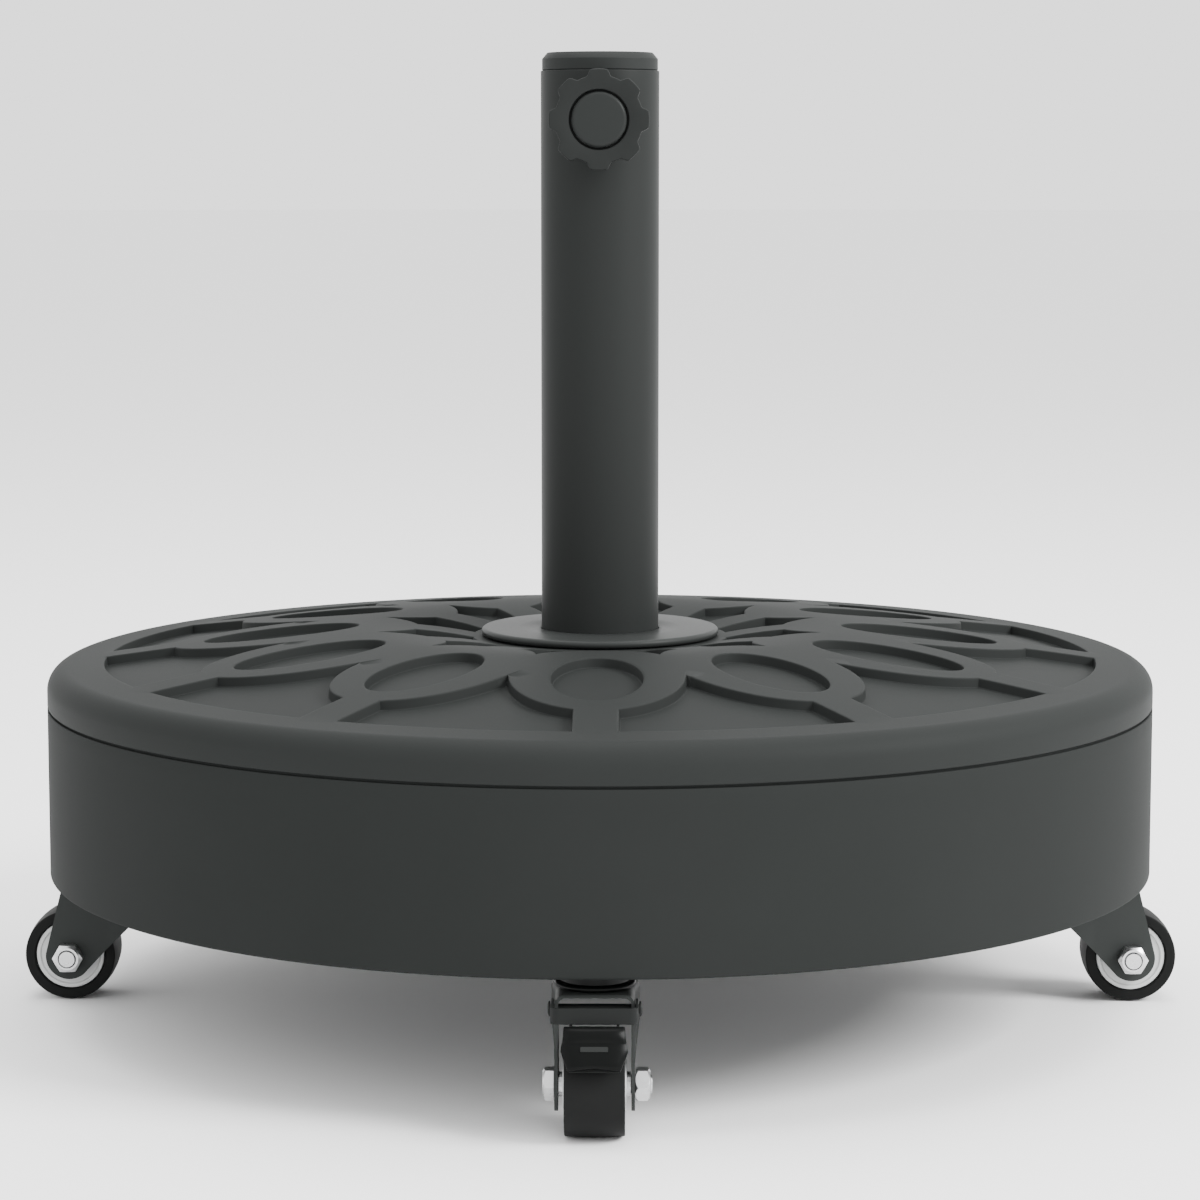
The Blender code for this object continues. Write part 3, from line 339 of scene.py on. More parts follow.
PETALS = 12
SKIRT_HEIGHT = 0.0167
RIM_WIDTH = 0.025
RIM_ROUND = 0.010
RIM_FALL = 0.001
CREST_RADIUS = 0.105
CREST_RISE = 0.0138
CREST_POWER = 1.25
HUB_DIP = 0.0046
COVER_THICKNESS = 0.008
HUB_RING = 0.0577
PETAL_ROOT = 0.0825
PETAL_TIP_GAP = 0.0305
PETAL_OVERLAP = 0.0006
HOLE_ROOT_RIB = 0.027
HOLE_TIP_RIB = 0.013
HOLE_SIDE_RIB = 0.0165
OUTER_STEM = 0.0087
INNER_STEM = 0.0082
TUBE_CLEARANCE = 0.0006
LIP_CLEARANCE = 0.0003
FILL_STEP = 0.0065
FILL_CLEAR_FLOOR = 0.0026
FILL_CLEAR_RIB = 0.003
PATTERN_MARGIN = 0.003
# From the rib's top edge into the pocket: distance inward, and drop below the rib.
WALL_STEPS = (
    (-0.0009, 0.0),
    (0.0, 0.0),
    (0.0003, 0.00008),
    (0.00052, 0.0003),
    (0.0006, 0.0006),
    (0.00085, 0.0037),
    (0.00093, 0.0040),
    (0.00115, 0.00422),
    (0.00145, 0.0043),
    (0.0023, 0.0043),
)

rim_top = cover_low.z + SKIRT_HEIGHT
pocket_rim = drum_radius - RIM_WIDTH
half_turn = math.pi / PETALS
petal_tip = pocket_rim - PETAL_TIP_GAP
petal_centre = (PETAL_ROOT + petal_tip) / 2
petal_length = (petal_tip - PETAL_ROOT) / 2
petal_width = petal_centre * math.sin(half_turn) + PETAL_OVERLAP
hole_root = PETAL_ROOT + HOLE_ROOT_RIB
hole_tip = petal_tip - HOLE_TIP_RIB
hole_centre = (hole_root + hole_tip) / 2
hole_length = (hole_tip - hole_root) / 2
hole_width = petal_width - HOLE_SIDE_RIB


def cover_height(radius):
    """Height of the ribs' tops: a broad crest that dips to the hub and falls to the rim."""
    if radius > pocket_rim:
        return rim_top + RIM_FALL * (drum_radius - RIM_ROUND - radius) / (RIM_WIDTH - RIM_ROUND)
    crest = rim_top + RIM_FALL + CREST_RISE
    if radius > CREST_RADIUS:
        fall = (radius - CREST_RADIUS) / (pocket_rim - CREST_RADIUS)
        return crest - CREST_RISE * fall**CREST_POWER
    dip = (CREST_RADIUS - max(radius, HUB_RING)) / (CREST_RADIUS - HUB_RING)
    return crest - HUB_DIP * dip**2


def beside_ellipse(centre, length, width, angle, outward):
    """A point moved out from an ellipse by the given distance."""
    across = (math.cos(angle) / length, math.sin(angle) / width)
    size = math.hypot(*across)
    x = centre + length * math.cos(angle) + outward * across[0] / size
    return x, width * math.sin(angle) + outward * across[1] / size


def petal_edge(angle, outward):
    """A point beside the petal's outline."""
    return beside_ellipse(petal_centre, petal_length, petal_width, angle, outward)


def crossing(height_over, low, high):
    """The angle between two others where a rising measure passes zero."""
    for _ in range(40):
        middle = (low + high) / 2
        if height_over(middle) > 0:
            high = middle
        else:
            low = middle
    return (low + high) / 2


def over_mirror_line(angle, inward):
    """How far a petal's edge point lies past the line between two petals."""
    x, y = petal_edge(angle, inward)
    return y * math.cos(half_turn) - x * math.sin(half_turn)


def spread(start, end, steps):
    """Evenly spread values, both ends included."""
    return [start + (end - start) * step / steps for step in range(steps + 1)]


def outer_pocket(inward):
    """Half of a pocket between two petals and the rim, at a distance from its edge."""
    first = crossing(lambda a: over_mirror_line(a, inward), 0, math.pi / 2)
    last = crossing(lambda a: petal_edge(a, inward)[1] - OUTER_STEM - inward, 0, math.pi / 2)
    half = [petal_edge(angle, inward) for angle in spread(first, last, 18)]
    side = OUTER_STEM + inward
    rim = pocket_rim - inward
    stem_end = math.sqrt(rim * rim - side * side)
    half += [(x, side) for x in spread(half[-1][0], stem_end, 6)[1:]]
    arc = spread(math.asin(side / rim), half_turn, 8)[1:]
    return half + [(rim * math.cos(a), rim * math.sin(a)) for a in arc]


def inner_pocket(inward):
    """Half of the small pocket between two petals and the hub ring."""
    first = crossing(lambda a: -over_mirror_line(a, inward), math.pi / 2, math.pi)
    last = crossing(lambda a: INNER_STEM + inward - petal_edge(a, inward)[1], math.pi / 2, math.pi)
    half = [petal_edge(angle, inward) for angle in spread(first, last, 10)]
    side = INNER_STEM + inward
    hub = HUB_RING + inward
    half += [(x, side) for x in spread(half[-1][0], math.sqrt(hub * hub - side * side), 3)[1:]]
    arc = spread(math.asin(side / hub), half_turn, 3)[1:]
    return half + [(hub * math.cos(a), hub * math.sin(a)) for a in arc]


def petal_hole(inward):
    """The whole pocket inside a petal."""
    sizes = (hole_centre, hole_length, hole_width)
    return [beside_ellipse(*sizes, angle, -inward) for angle in spread(0, math.tau, 60)[:-1]]


def both_halves(half):
    """Close a half pocket with its mirror image past the line between petals."""
    cos, sin = math.cos(2 * half_turn), math.sin(2 * half_turn)
    return half + [(x * cos + y * sin, x * sin - y * cos) for x, y in reversed(half[1:-1])]


def pocket_depth(x, y):
    """Roughly how far a point lies inside a pocket; below zero on the ribs."""
    radius = math.hypot(x, y)
    angle = abs((math.atan2(y, x) + half_turn) % (2 * half_turn) - half_turn)
    x, y = radius * math.cos(angle), radius * math.sin(angle)

    def beyond(centre, length, width):
        reach = math.hypot((x - centre) / length, y / width)
        slope = math.hypot((x - centre) / length**2, y / width**2) / max(reach, 1e-6)
        return (reach - 1) / max(slope, 1e-6)

    outside = beyond(petal_centre, petal_length, petal_width)
    if radius > petal_centre:
        between = min(outside, y - OUTER_STEM, pocket_rim - radius)
    else:
        between = min(outside, y - INNER_STEM, radius - HUB_RING)
    return max(between, -beyond(hole_centre, hole_length, hole_width))


def cover_top():
    """Flat points, fixed edges and each point's height for the patterned top."""
    points, heights, edges = [], [], []

    def loop(outline, drop):
        start = len(points)
        for x, y in outline:
            points.append(Vector((x, y)))
            heights.append(cover_height(math.hypot(x, y)) - drop)
        count = len(outline)
        edges.extend((start + step, start + (step + 1) % count) for step in range(count))

    for inward, drop in WALL_STEPS:
        loops = [both_halves(outer_pocket(inward)), both_halves(inner_pocket(inward))]
        loops.append(petal_hole(inward))
        for petal in range(PETALS):
            cos, sin = math.cos(petal * 2 * half_turn), math.sin(petal * 2 * half_turn)
            for outline in loops:
                loop([(x * cos - y * sin, x * sin + y * cos) for x, y in outline], drop)
    loop(ring_points(bore_radius, CASING_FACETS), 0)
    loop(ring_points(pocket_rim + PATTERN_MARGIN, CASING_FACETS), 0)
    on_floor = WALL_STEPS[-1][0] + FILL_CLEAR_FLOOR
    on_rib = WALL_STEPS[0][0] - FILL_CLEAR_RIB
    radius = bore_radius + PATTERN_MARGIN
    while radius < pocket_rim:
        count = PETALS * max(2, round(math.tau * radius / FILL_STEP / PETALS))
        for x, y in ring_points(radius, count):
            depth = pocket_depth(x, y)
            if depth > on_floor or depth < on_rib:
                points.append(Vector((x, y)))
                heights.append(cover_height(radius) - (WALL_STEPS[-1][1] if depth > 0 else 0))
        radius += FILL_STEP
    return points, heights, edges


def skinned(shape, rings):
    """Join each ring of points to the next one with faces."""
    for first, second in zip(rings, rings[1:]):
        for step in range(len(first)):
            after = (step + 1) % len(first)
            shape.faces.new((first[step], first[after], second[after], second[step]))
    return shape


def cover_shape():
    """The whole cover: patterned top, rounded rim, skirt and smooth underside."""
    points, heights, edges = cover_top()
    flat, _, faces, origins, _, _ = delaunay_2d_cdt(points, edges, [], 0, 1e-7)
    shape = bmesh.new()
    corners = []
    for spot, origin in zip(flat, origins):
        height = heights[origin[0]] if origin else cover_height(spot.length)
        corners.append(shape.verts.new((spot.x, spot.y, height)))
    inside = bore_radius * math.cos(math.pi / CASING_FACETS)
    for face in faces:
        middle = sum((flat[index] for index in face), Vector((0, 0))) / len(face)
        if middle.length > inside:
            shape.faces.new([corners[index] for index in face])
    flat_end = drum_radius - RIM_ROUND
    lip = drum_radius - CASING_WALL + CASING_LIP + LIP_CLEARANCE
    skirt_top = pan_high.z + LIP_CLEARANCE
    profile = [(r, cover_height(r)) for r in spread(pocket_rim + PATTERN_MARGIN, flat_end, 4)[:-1]]
    profile += bend((flat_end, rim_top - RIM_ROUND), RIM_ROUND, 90, 0, 14)
    edge = SEAM_EDGE_RADIUS
    profile += bend((drum_radius - edge, cover_low.z + edge), edge, 0, -90, 3)
    profile += [(lip, cover_low.z), (lip, skirt_top), (flat_end, skirt_top)]
    under = spread(pocket_rim, bore_radius, 12)
    profile += [(r, cover_height(r) - COVER_THICKNESS) for r in under]
    profile.append((bore_radius, cover_height(bore_radius)))
    rings = []
    for radius, height in profile:
        rings.append([shape.verts.new((x, y, height)) for x, y in ring_points(radius, CASING_FACETS)])
    skinned(shape, rings)
    bmesh.ops.remove_doubles(shape, verts=shape.verts, dist=2e-6)
    return shape


bore_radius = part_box("pole_tube")[1].x + TUBE_CLEARANCE
COVER_TONES = ((0.0165, 0.0179, 0.0173), (0.0190, 0.0206, 0.0200))
cover_plastic = moulded_plastic("cover_plastic", *COVER_TONES, 0.56, specular=0.03)
cover_shell = as_piece("cover_shell", cover_shape(), cover_plastic, 60)
settle(cover_shell, "base", "cover_plastic", "top_cover")


# ---------------------------
# Tube collar
# A thin plastic disc with a fully rounded edge, slid down the tube to hide the
# hole in the cover. It rests on the hub ring.

collar_low, collar_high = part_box("tube_collar")
collar_radius = collar_high.x
collar_thick = collar_high.z - collar_low.z


def collar_shape():
    """Turned disc: flat under, faintly dished on top, with a round edge."""
    bore = bore_radius - 0.0003
    centre = (collar_radius - collar_thick / 2, collar_low.z + collar_thick / 2)
    profile = [(bore, collar_low.z)] + bend(centre, collar_thick / 2, -90, 90, 14)
    profile += [(bore + 0.0105, collar_high.z - 0.00005), (bore + 0.0006, collar_high.z - 0.0001)]
    profile += [(bore, collar_high.z - 0.0006)]
    return turned(profile, 192)


COLLAR_TONES = ((0.0215, 0.0233, 0.0226), (0.0245, 0.0266, 0.0257))
collar_plastic = moulded_plastic("collar_plastic", *COLLAR_TONES, 0.42, specular=0.08)
collar_disc = as_piece("collar_disc", collar_shape(), collar_plastic, 40)
settle(collar_disc, "base", "cover_plastic", "tube_collar")


# ---------------------------
# Pole tube and clamp boss
# Drawn steel tube with a 1.5 mm wall, its foot welded to the plate inside. Near
# the top a short threaded boss is welded over a drilled hole. Both are coated
# together in satin anthracite powder.

TUBE_WALL = 0.0015
TUBE_EDGE = 0.0005
SCREW_HOLE = 0.0043
BOSS_ROOT = 0.0251
BOSS_CHAMFER = 0.0008
TO_FRONT = -1

tube_low, tube_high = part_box("pole_tube")
boss_low, boss_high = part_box("clamp_boss")
clamp_height = (boss_low.z + boss_high.z) / 2


def powder_coat(name, dark, light, rough, specular=0.06):
    """Baked powder: faint orange peel and a fine, even sparkle in the gloss."""
    finish = new_finish(name, specular)
    speck = noise(finish, 3200.0)
    tinted(finish, speck, dark, light)
    glossed(finish, speck, rough - 0.04, rough + 0.04)
    embossed(finish, noise(finish, 520.0).outputs["Fac"], 0.25, 0.00003)
    return finish


def along_y(shape, towards=1):
    """Turn a shape made along Z to lie along Y, its top end to the back or front."""
    turn = Matrix.Rotation(-towards * math.pi / 2, 3, "X")
    bmesh.ops.rotate(shape, verts=shape.verts, cent=(0, 0, 0), matrix=turn)
    return shape


def shifted(shape, x=0.0, y=0.0, z=0.0):
    """Move a shape."""
    bmesh.ops.translate(shape, verts=shape.verts, vec=(x, y, z))
    return shape


def screw_drill():
    """The hole that the clamp screw passes through."""
    return shifted(along_y(pressed([ring_points(SCREW_HOLE, 48)], -0.06, 0)), z=clamp_height)


tube_radius = tube_high.x
tube_bore = tube_radius - TUBE_WALL
tube_profile = [(tube_bore, tube_low.z), (tube_radius, tube_low.z), (tube_radius, collar_high.z)]
tube_profile += [(tube_radius, z) for z in spread(0.2, tube_high.z - 0.01, 6)]
tube_profile += bend((tube_radius - TUBE_EDGE, tube_high.z - TUBE_EDGE), TUBE_EDGE, 0, 90, 4)
tube_profile += [(tube_bore + 0.0003, tube_high.z), (tube_bore, tube_high.z - 0.0003)]
TUBE_TONES = ((0.0145, 0.0158, 0.0152), (0.0175, 0.0190, 0.0184))
tube_paint = powder_coat("tube_paint", *TUBE_TONES, 0.44)
tube_body = carved(as_piece("tube_body", turned(tube_profile, 160)), ("DIFFERENCE", screw_drill()))
settle(finished(tube_body, tube_paint), "base", "tube_paint", "pole_tube")

boss_radius = (boss_high.x - boss_low.x) / 2
boss_face = -boss_low.y
boss_profile = [(0, BOSS_ROOT), (boss_radius, BOSS_ROOT), (boss_radius, boss_face - BOSS_CHAMFER)]
boss_profile += [(boss_radius - BOSS_CHAMFER, boss_face), (0, boss_face)]
boss_shape = along_y(turned(boss_profile, 64), TO_FRONT)
clamp_nut = carved(
    as_piece("clamp_nut", shifted(boss_shape, z=clamp_height)),
    ("DIFFERENCE", pressed([ring_points(tube_radius + 0.0003, 160)], 0.3, 0.5)),
    ("DIFFERENCE", screw_drill()),
)
settle(finished(clamp_nut, tube_paint), "base", "tube_paint", "clamp_boss")


# ---------------------------
# Pole seat and adapter sleeve
# The seat is a plastic plug over the foot nut, where the pole's end stands. The
# sleeve drops into the tube for thinner poles: a moulded liner with a bevelled
# rim that shows on top, and a slot that passes the clamp screw.

SLEEVE_BEVEL_WIDTH = 0.0022
SLEEVE_BEVEL_HEIGHT = 0.0027
SLEEVE_WALL = 0.0055
SLEEVE_SLOT = 0.0046

liner_low, liner_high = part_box("adapter_sleeve")
LINER_TONES = ((0.0175, 0.0190, 0.0184), (0.0200, 0.0217, 0.0210))
liner_plastic = moulded_plastic("liner_plastic", *LINER_TONES, 0.48)
refinish("pole_seat", liner_plastic)


def liner_shape():
    """Turned sleeve with its rim's bevel and a lead-in at the mouth."""
    outer = tube_bore - 0.0003
    inner = outer - SLEEVE_WALL
    rim = liner_high.x
    rim_foot = tube_high.z + 0.0001
    bevel_foot = liner_high.z - SLEEVE_BEVEL_HEIGHT
    profile = [(inner, liner_low.z), (outer - 0.0008, liner_low.z), (outer, liner_low.z + 0.0015)]
    profile += [(outer, rim_foot), (rim - 0.0003, rim_foot), (rim, rim_foot + 0.0003)]
    profile += [(rim, bevel_foot - 0.0002), (rim - 0.0001, bevel_foot)]
    profile += [(rim - SLEEVE_BEVEL_WIDTH, liner_high.z - 0.0002)]
    profile += [(rim - SLEEVE_BEVEL_WIDTH - 0.0003, liner_high.z), (inner + 0.0012, liner_high.z)]
    profile += [(inner + 0.0004, liner_high.z - 0.0004), (inner, liner_high.z - 0.0014)]
    return turned(profile, 160)


slot_outline = bend((0, clamp_height), SLEEVE_SLOT, 0, 180, 16)
slot_outline += [(-SLEEVE_SLOT, liner_low.z - 0.005), (SLEEVE_SLOT, liner_low.z - 0.005)]
slot_cutter = along_y(pressed([slot_outline], 0, 0.06), TO_FRONT)
liner = carved(as_piece("liner", liner_shape()), ("DIFFERENCE", slot_cutter))
settle(finished(liner, liner_plastic, 25), "adapter", "adapter_plastic", "adapter_sleeve")


# ---------------------------
# Clamp screw and knob
# An M8 zinc-plated stud with a rolled thread runs through the boss. The knob is
# an eight-lobed plastic grip moulded round it, and a round cap with a soft edge
# closes its face, standing in a narrow groove.

THREAD_PITCH = 0.00125
THREAD_DEPTH = 0.0006
KNOB_LOBES = 8
KNOB_NOTCH_DEPTH = 0.0027
KNOB_SOFTNESS = 0.0006
CAP_GROOVE = 0.001
CAP_RECESS = 0.004

screw_low, screw_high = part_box("clamp_screw")
grip_low, grip_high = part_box("knob_grip")
cap_low, cap_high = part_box("knob_cap")


def threaded_rod(radius, start, end, pitch, depth, facets=40, steps_per_turn=8):
    """Rod along Z whose surface rises and falls along one helical thread."""
    shape = bmesh.new()
    rows = []
    count = round((end - start) / pitch * steps_per_turn)
    for row in range(count + 1):
        height = start + (end - start) * row / count
        fade = min(1, row / steps_per_turn, (count - row) / steps_per_turn)
        ring = []
        for step in range(facets):
            phase = (height / pitch - step / facets) % 1
            groove = 1 - abs(2 * phase - 1)
            reach = radius - depth * (groove * fade + 0.8 * (1 - fade))
            angle = step * math.tau / facets
            ring.append(shape.verts.new((reach * math.cos(angle), reach * math.sin(angle), height)))
        rows.append(ring)
    skinned(shape, rows)
    shape.faces.new(rows[0])
    shape.faces.new(rows[-1])
    return shape


stud_radius = (screw_high.x - screw_low.x) / 2
stud = threaded_rod(stud_radius, screw_low.y, screw_high.y, THREAD_PITCH, THREAD_DEPTH)
clamp_stud = as_piece("clamp_stud", shifted(along_y(stud), z=clamp_height), zinc, 60)
settle(clamp_stud, "clamp_screw", "zinc", "clamp_screw")

knob_radius = (grip_high.x - grip_low.x) / 2


def lobe_radius(angle, inset):
    """The knob's outline: flat-topped lobes with round-bottomed notches between."""
    pitch = math.tau / KNOB_LOBES
    off_lobe = abs((angle + pitch / 2) % pitch - pitch / 2) / pitch
    share = min(1, max(0, (off_lobe - 0.19) / 0.18))
    dip = share * share * (3 - 2 * share)
    return knob_radius - KNOB_NOTCH_DEPTH * dip - inset


def knob_shape():
    """Lobed grip: softened edges, a recess in the face and the stud's bore."""
    facets = 192
    front, back = -grip_low.y, -grip_high.y
    cap_radius = (cap_high.x - cap_low.x) / 2
    recess = cap_radius + CAP_GROOVE
    soft = KNOB_SOFTNESS
    shape = bmesh.new()
    rings = []

    def ring(inset, depth, round_radius=None):
        points = []
        for step in range(facets):
            angle = step * math.tau / facets
            reach = round_radius if round_radius else lobe_radius(angle, inset)
            x, z = reach * math.sin(angle), reach * math.cos(angle)
            points.append(shape.verts.new((x, -depth, clamp_height + z)))
        rings.append(points)

    ring(0, back, SCREW_HOLE)
    ring(0, back, 0.009)
    for inset, depth in bend((soft, back + soft), soft, -90, -180, 5):
        ring(inset, depth)
    for inset, depth in bend((soft, front - soft), soft, 180, 90, 7):
        ring(inset, depth)
    ring(0, front, recess + 0.0006)
    ring(0, front - 0.0002, recess + 0.00015)
    ring(0, front - 0.0007, recess)
    ring(0, front - CAP_RECESS, recess)
    ring(0, front - CAP_RECESS, SCREW_HOLE)
    return skinned(shape, rings + rings[:1])


KNOB_TONES = ((0.0140, 0.0152, 0.0147), (0.0165, 0.0179, 0.0173))
knob_plastic = moulded_plastic("knob_plastic", *KNOB_TONES, 0.45)
knob_lobes = as_piece("knob_lobes", knob_shape(), knob_plastic, 40)
settle(knob_lobes, "clamp_knob", "grip_plastic", "knob_grip")


def cap_shape():
    """Turned cap: very slightly crowned face, edge rounded over."""
    radius = (cap_high.x - cap_low.x) / 2
    back, front = -cap_high.y, -cap_low.y
    soft = 0.0016
    crown = 0.0002
    profile = [(0, back), (radius, back)]
    profile += bend((radius - soft, front - crown - soft), soft, 0, 90, 9)
    profile += [(radius * 0.55, front - crown * 0.3), (0, front)]
    return shifted(along_y(turned(profile, 96), TO_FRONT), z=clamp_height)


cap_plastic = moulded_plastic("cap_plastic", *COVER_TONES, 0.34, 0.03)
knob_button = as_piece("knob_button", cap_shape(), cap_plastic, 40)
settle(knob_button, "clamp_screw", "cap_plastic", "knob_cap")


# ---------------------------
# Castor stems and swivel cups
# Each castor hangs on a steel kingpin, riveted over under the fork's crown and
# screwed into the casing's insert. A shallow cup of pressed steel, painted
# black, keeps the swivel's grease in between the fork and the casing.

WHEEL_TRAIL = 0.016
KINGPIN_HOLE = 0.0051

castor_frames = {}
for side, x, y, turn in castor_sides():
    castor_frames[side] = Matrix.Translation((x, y, 0)) @ Matrix.Rotation(turn, 4, "Z")
brake_joints = [joint for joint in frame["joints"] if "brake_press" in joint["name"]]
braked_sides = [joint["name"].rsplit("_", 1)[1] for joint in brake_joints]
cup_low, cup_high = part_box("castor_race_right")


def on_castors(name, piece, body, node, slot, sides=None):
    """Put copies of a piece, made with the wheel towards +X, on the castors."""
    for side in sides or castor_frames:
        copy = bpy.data.objects.new(f"{name}_{side}", piece.data)
        for step in piece.modifiers:
            twin = copy.modifiers.new(step.name, step.type)
            twin.width = step.width
            twin.segments = step.segments
            twin.limit_method = step.limit_method
            twin.angle_limit = step.angle_limit
        copy.matrix_world = castor_frames[side]
        bpy.context.scene.collection.objects.link(copy)
        settle(copy, f"{body}_{side}" if body != "base" else body, slot, f"{node}_{side}")
    bpy.data.objects.remove(piece)


def cup_shape():
    """Pressed cup: rolled lower lip, shallow waist and a flat top."""
    radius = (cup_high.x - cup_low.x) / 2
    low, high = cup_low.z, cup_high.z
    profile = [(KINGPIN_HOLE, low), (radius - 0.0022, low)]
    profile += bend((radius - 0.0011, low + 0.0011), 0.0011, -90, 90, 8)
    profile += [(radius - 0.0019, low + 0.0026), (radius - 0.0019, high - 0.0014)]
    profile += [(radius - 0.0008, high - 0.0008), (radius - 0.0008, high)]
    profile.append((KINGPIN_HOLE, high))
    return turned(profile, 96)


SWIVEL_TONES = ((0.0022, 0.0025, 0.0024), (0.0034, 0.0038, 0.0036))
swivel_black = powder_coat("swivel_black", *SWIVEL_TONES, 0.3, 0.1)
cup = as_piece("cup", cup_shape(), swivel_black)
on_castors("swivel_cup", cup, "base", "castor_race", "fork_paint")


def kingpin_shape():
    """Kingpin: domed rivet head, plain neck and a threaded upper end."""
    low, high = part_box("castor_stem_right")
    head = (high.x - low.x) / 2
    shoulder = low.z + 0.0026
    profile = [(0, low.z), (head * 0.45, low.z + 0.0001), (head * 0.75, low.z + 0.0006)]
    profile += [(head * 0.95, low.z + 0.0014), (head, low.z + 0.0021), (head, shoulder)]
    profile += [(0.0048, shoulder), (0.0048, high.z - 0.001), (0.0038, high.z), (0, high.z)]
    return turned(profile, 64)


kingpin = as_piece("kingpin_master", kingpin_shape(), zinc)
on_castors("kingpin", kingpin, "base", "castor_stem", "zinc")


# ---------------------------
# Castor forks
# Pressed from one 1.4 mm steel sheet: the crown folds down over round shoulders
# into two legs, which run straight beside the wheel and flare behind a soft
# crease. Painted anthracite; its colour is set a shade lighter than the tube's
# as painted light, to lift the shade that the base above casts on the legs.

LEG_FACE = 0.01585
FORK_SHEET = 0.0014
FORK_SHOULDER = 0.0042
FORK_FRONT = 0.0185
FORK_BACK = 0.0165
FORK_CREASE = -0.001
FLARE_STATIONS = (-0.012, -0.008, -0.005, -0.003, -0.0018, -0.0006, 0.0006, 0.002, 0.01, 0.03)
FORK_FLARE = 0.00195
LEG_FOOT = 0.0106
LEG_HEEL_RISE = 0.003
AXLE_HOLE = 0.0043
BRAKE_PIN_HOLE = 0.0023
BRAKE_PIVOT = 0.013

fork_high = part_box("castor_fork_right")[1]
wheel_low, wheel_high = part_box("wheel_tyre_right")
axle_height = (wheel_low.z + wheel_high.z) / 2
brake_height = brake_joints[0]["pos_m"][2]


def fork_blank():
    """The folded sheet before it is trimmed: one U, bent over a round shoulder."""
    top = fork_high.z
    corner = FORK_SHOULDER
    outside = bend((LEG_FACE - corner, top - corner), corner, 90, 0, 8)
    outside += [(LEG_FACE, 0.03), (LEG_FACE, 0.005)]
    inner = corner - FORK_SHEET
    face = LEG_FACE - FORK_SHEET
    inside = [(face, 0.005), (face, 0.03)] + bend((LEG_FACE - corner, top - corner), inner, 0, 90, 8)
    half = outside + inside
    section = half + [(-y, z) for y, z in reversed(half)]
    shape = bmesh.new()
    rows = []
    for x in (-FORK_BACK - 0.002,) + FLARE_STATIONS:
        past = max(0.0, FORK_CREASE - x)
        flare = FORK_FLARE / (FORK_BACK + FORK_CREASE) * (math.hypot(past, 0.0008) - 0.0008)
        rows.append([shape.verts.new((x, y + flare * y / LEG_FACE, z)) for y, z in section])
    skinned(shape, rows)
    shape.faces.new(rows[0])
    shape.faces.new(rows[-1])
    return shape


def side_cut(outline, half_width):
    """Extrude an (x, z) outline evenly to both sides."""
    return along_y(pressed([outline], -half_width, half_width), TO_FRONT)


def cross_hole(radius, x, z, facets=40):
    """A round cutter across the fork."""
    return shifted(along_y(pressed([ring_points(radius, facets)], -0.03, 0.03)), x=x, z=z)


def worn_edges(piece, width):
    """Round a sheet's cut edges a little."""
    soften = piece.modifiers.new("worn_edges", "BEVEL")
    soften.width = width
    soften.segments = 2
    soften.limit_method = "ANGLE"
    soften.angle_limit = math.radians(50)
    return piece


def fork_piece(braked):
    """Trim the folded sheet to the legs' outline and pierce its holes."""
    top = fork_high.z + 0.001
    heel = axle_height + LEG_HEEL_RISE
    outline = bend((FORK_FRONT - 0.003, top - 0.004), 0.003, 90, 0, 4)
    outline += bend((WHEEL_TRAIL, axle_height), LEG_FOOT, 8, -128, 18)
    outline += [(FORK_CREASE, heel), (-FORK_BACK, heel + FORK_BACK + FORK_CREASE)]
    outline += bend((-FORK_BACK + 0.003, top - 0.004), 0.003, 180, 90, 4)
    fork = as_piece("fork_master", fork_blank())
    cuts = [("INTERSECT", side_cut(outline, 0.03))]
    cuts.append(("DIFFERENCE", pressed([ring_points(KINGPIN_HOLE, 40)], 0.03, 0.07)))
    cuts.append(("DIFFERENCE", cross_hole(AXLE_HOLE, WHEEL_TRAIL, axle_height)))
    if braked:
        cuts.append(("DIFFERENCE", cross_hole(BRAKE_PIN_HOLE, BRAKE_PIVOT, brake_height, 24)))
    carved(fork, *cuts)
    return worn_edges(finished(fork, fork_paint, 24), 0.00028)


# Painted light: these fork tones are lifted to about twice the tube's to make up for the shade under
# the base.
FORK_TONES_LIFTED_FOR_SHADE = ((0.0285, 0.0309, 0.0299), (0.0325, 0.0353, 0.0341))
fork_paint = powder_coat("fork_paint", *FORK_TONES_LIFTED_FOR_SHADE, 0.45, 0.05)
plain_sides = [side for side in castor_frames if side not in braked_sides]
on_castors("fork", fork_piece(False), "castor", "castor_fork", "fork_paint", plain_sides)
on_castors("fork", fork_piece(True), "castor", "castor_fork", "fork_paint", braked_sides)


# ---------------------------
# Wheels
# A light grey nylon hub with a raised boss at its bore, and a black rubber
# tyre moulded round it. The tyre's tread is barely crowned and its shoulders
# are nearly square; the hub's face is dished a little inside the tyre.

TYRE_DEPTH = 0.0052
TYRE_SHOULDER = 0.0006
TYRE_CROWN = 0.0005
HUB_BOSS = 0.0101

wheel_radius = (wheel_high.z - wheel_low.z) / 2
wheel_half = (wheel_high.y - wheel_low.y) / 2
hub_radius = wheel_radius - TYRE_DEPTH


def mirrored(half, middle=()):
    """Close half an outline with its mirror image below."""
    return half + list(middle) + [(radius, -height) for radius, height in reversed(half)]


def tyre_shape():
    """Turned tyre with tight shoulders and a slightly crowned tread."""
    soft = TYRE_SHOULDER
    reach = wheel_radius - TYRE_CROWN
    half = [(hub_radius, wheel_half - 0.0006), (hub_radius + 0.0006, wheel_half)]
    half += [(wheel_radius - 0.0024, wheel_half)]
    half += bend((reach - soft, wheel_half - soft), soft, 90, 0, 7)
    half += [(wheel_radius - TYRE_CROWN * 0.3, wheel_half / 2)]
    profile = mirrored(half, [(wheel_radius, 0)])
    return shifted(along_y(turned(profile, 128)), x=WHEEL_TRAIL, z=axle_height)


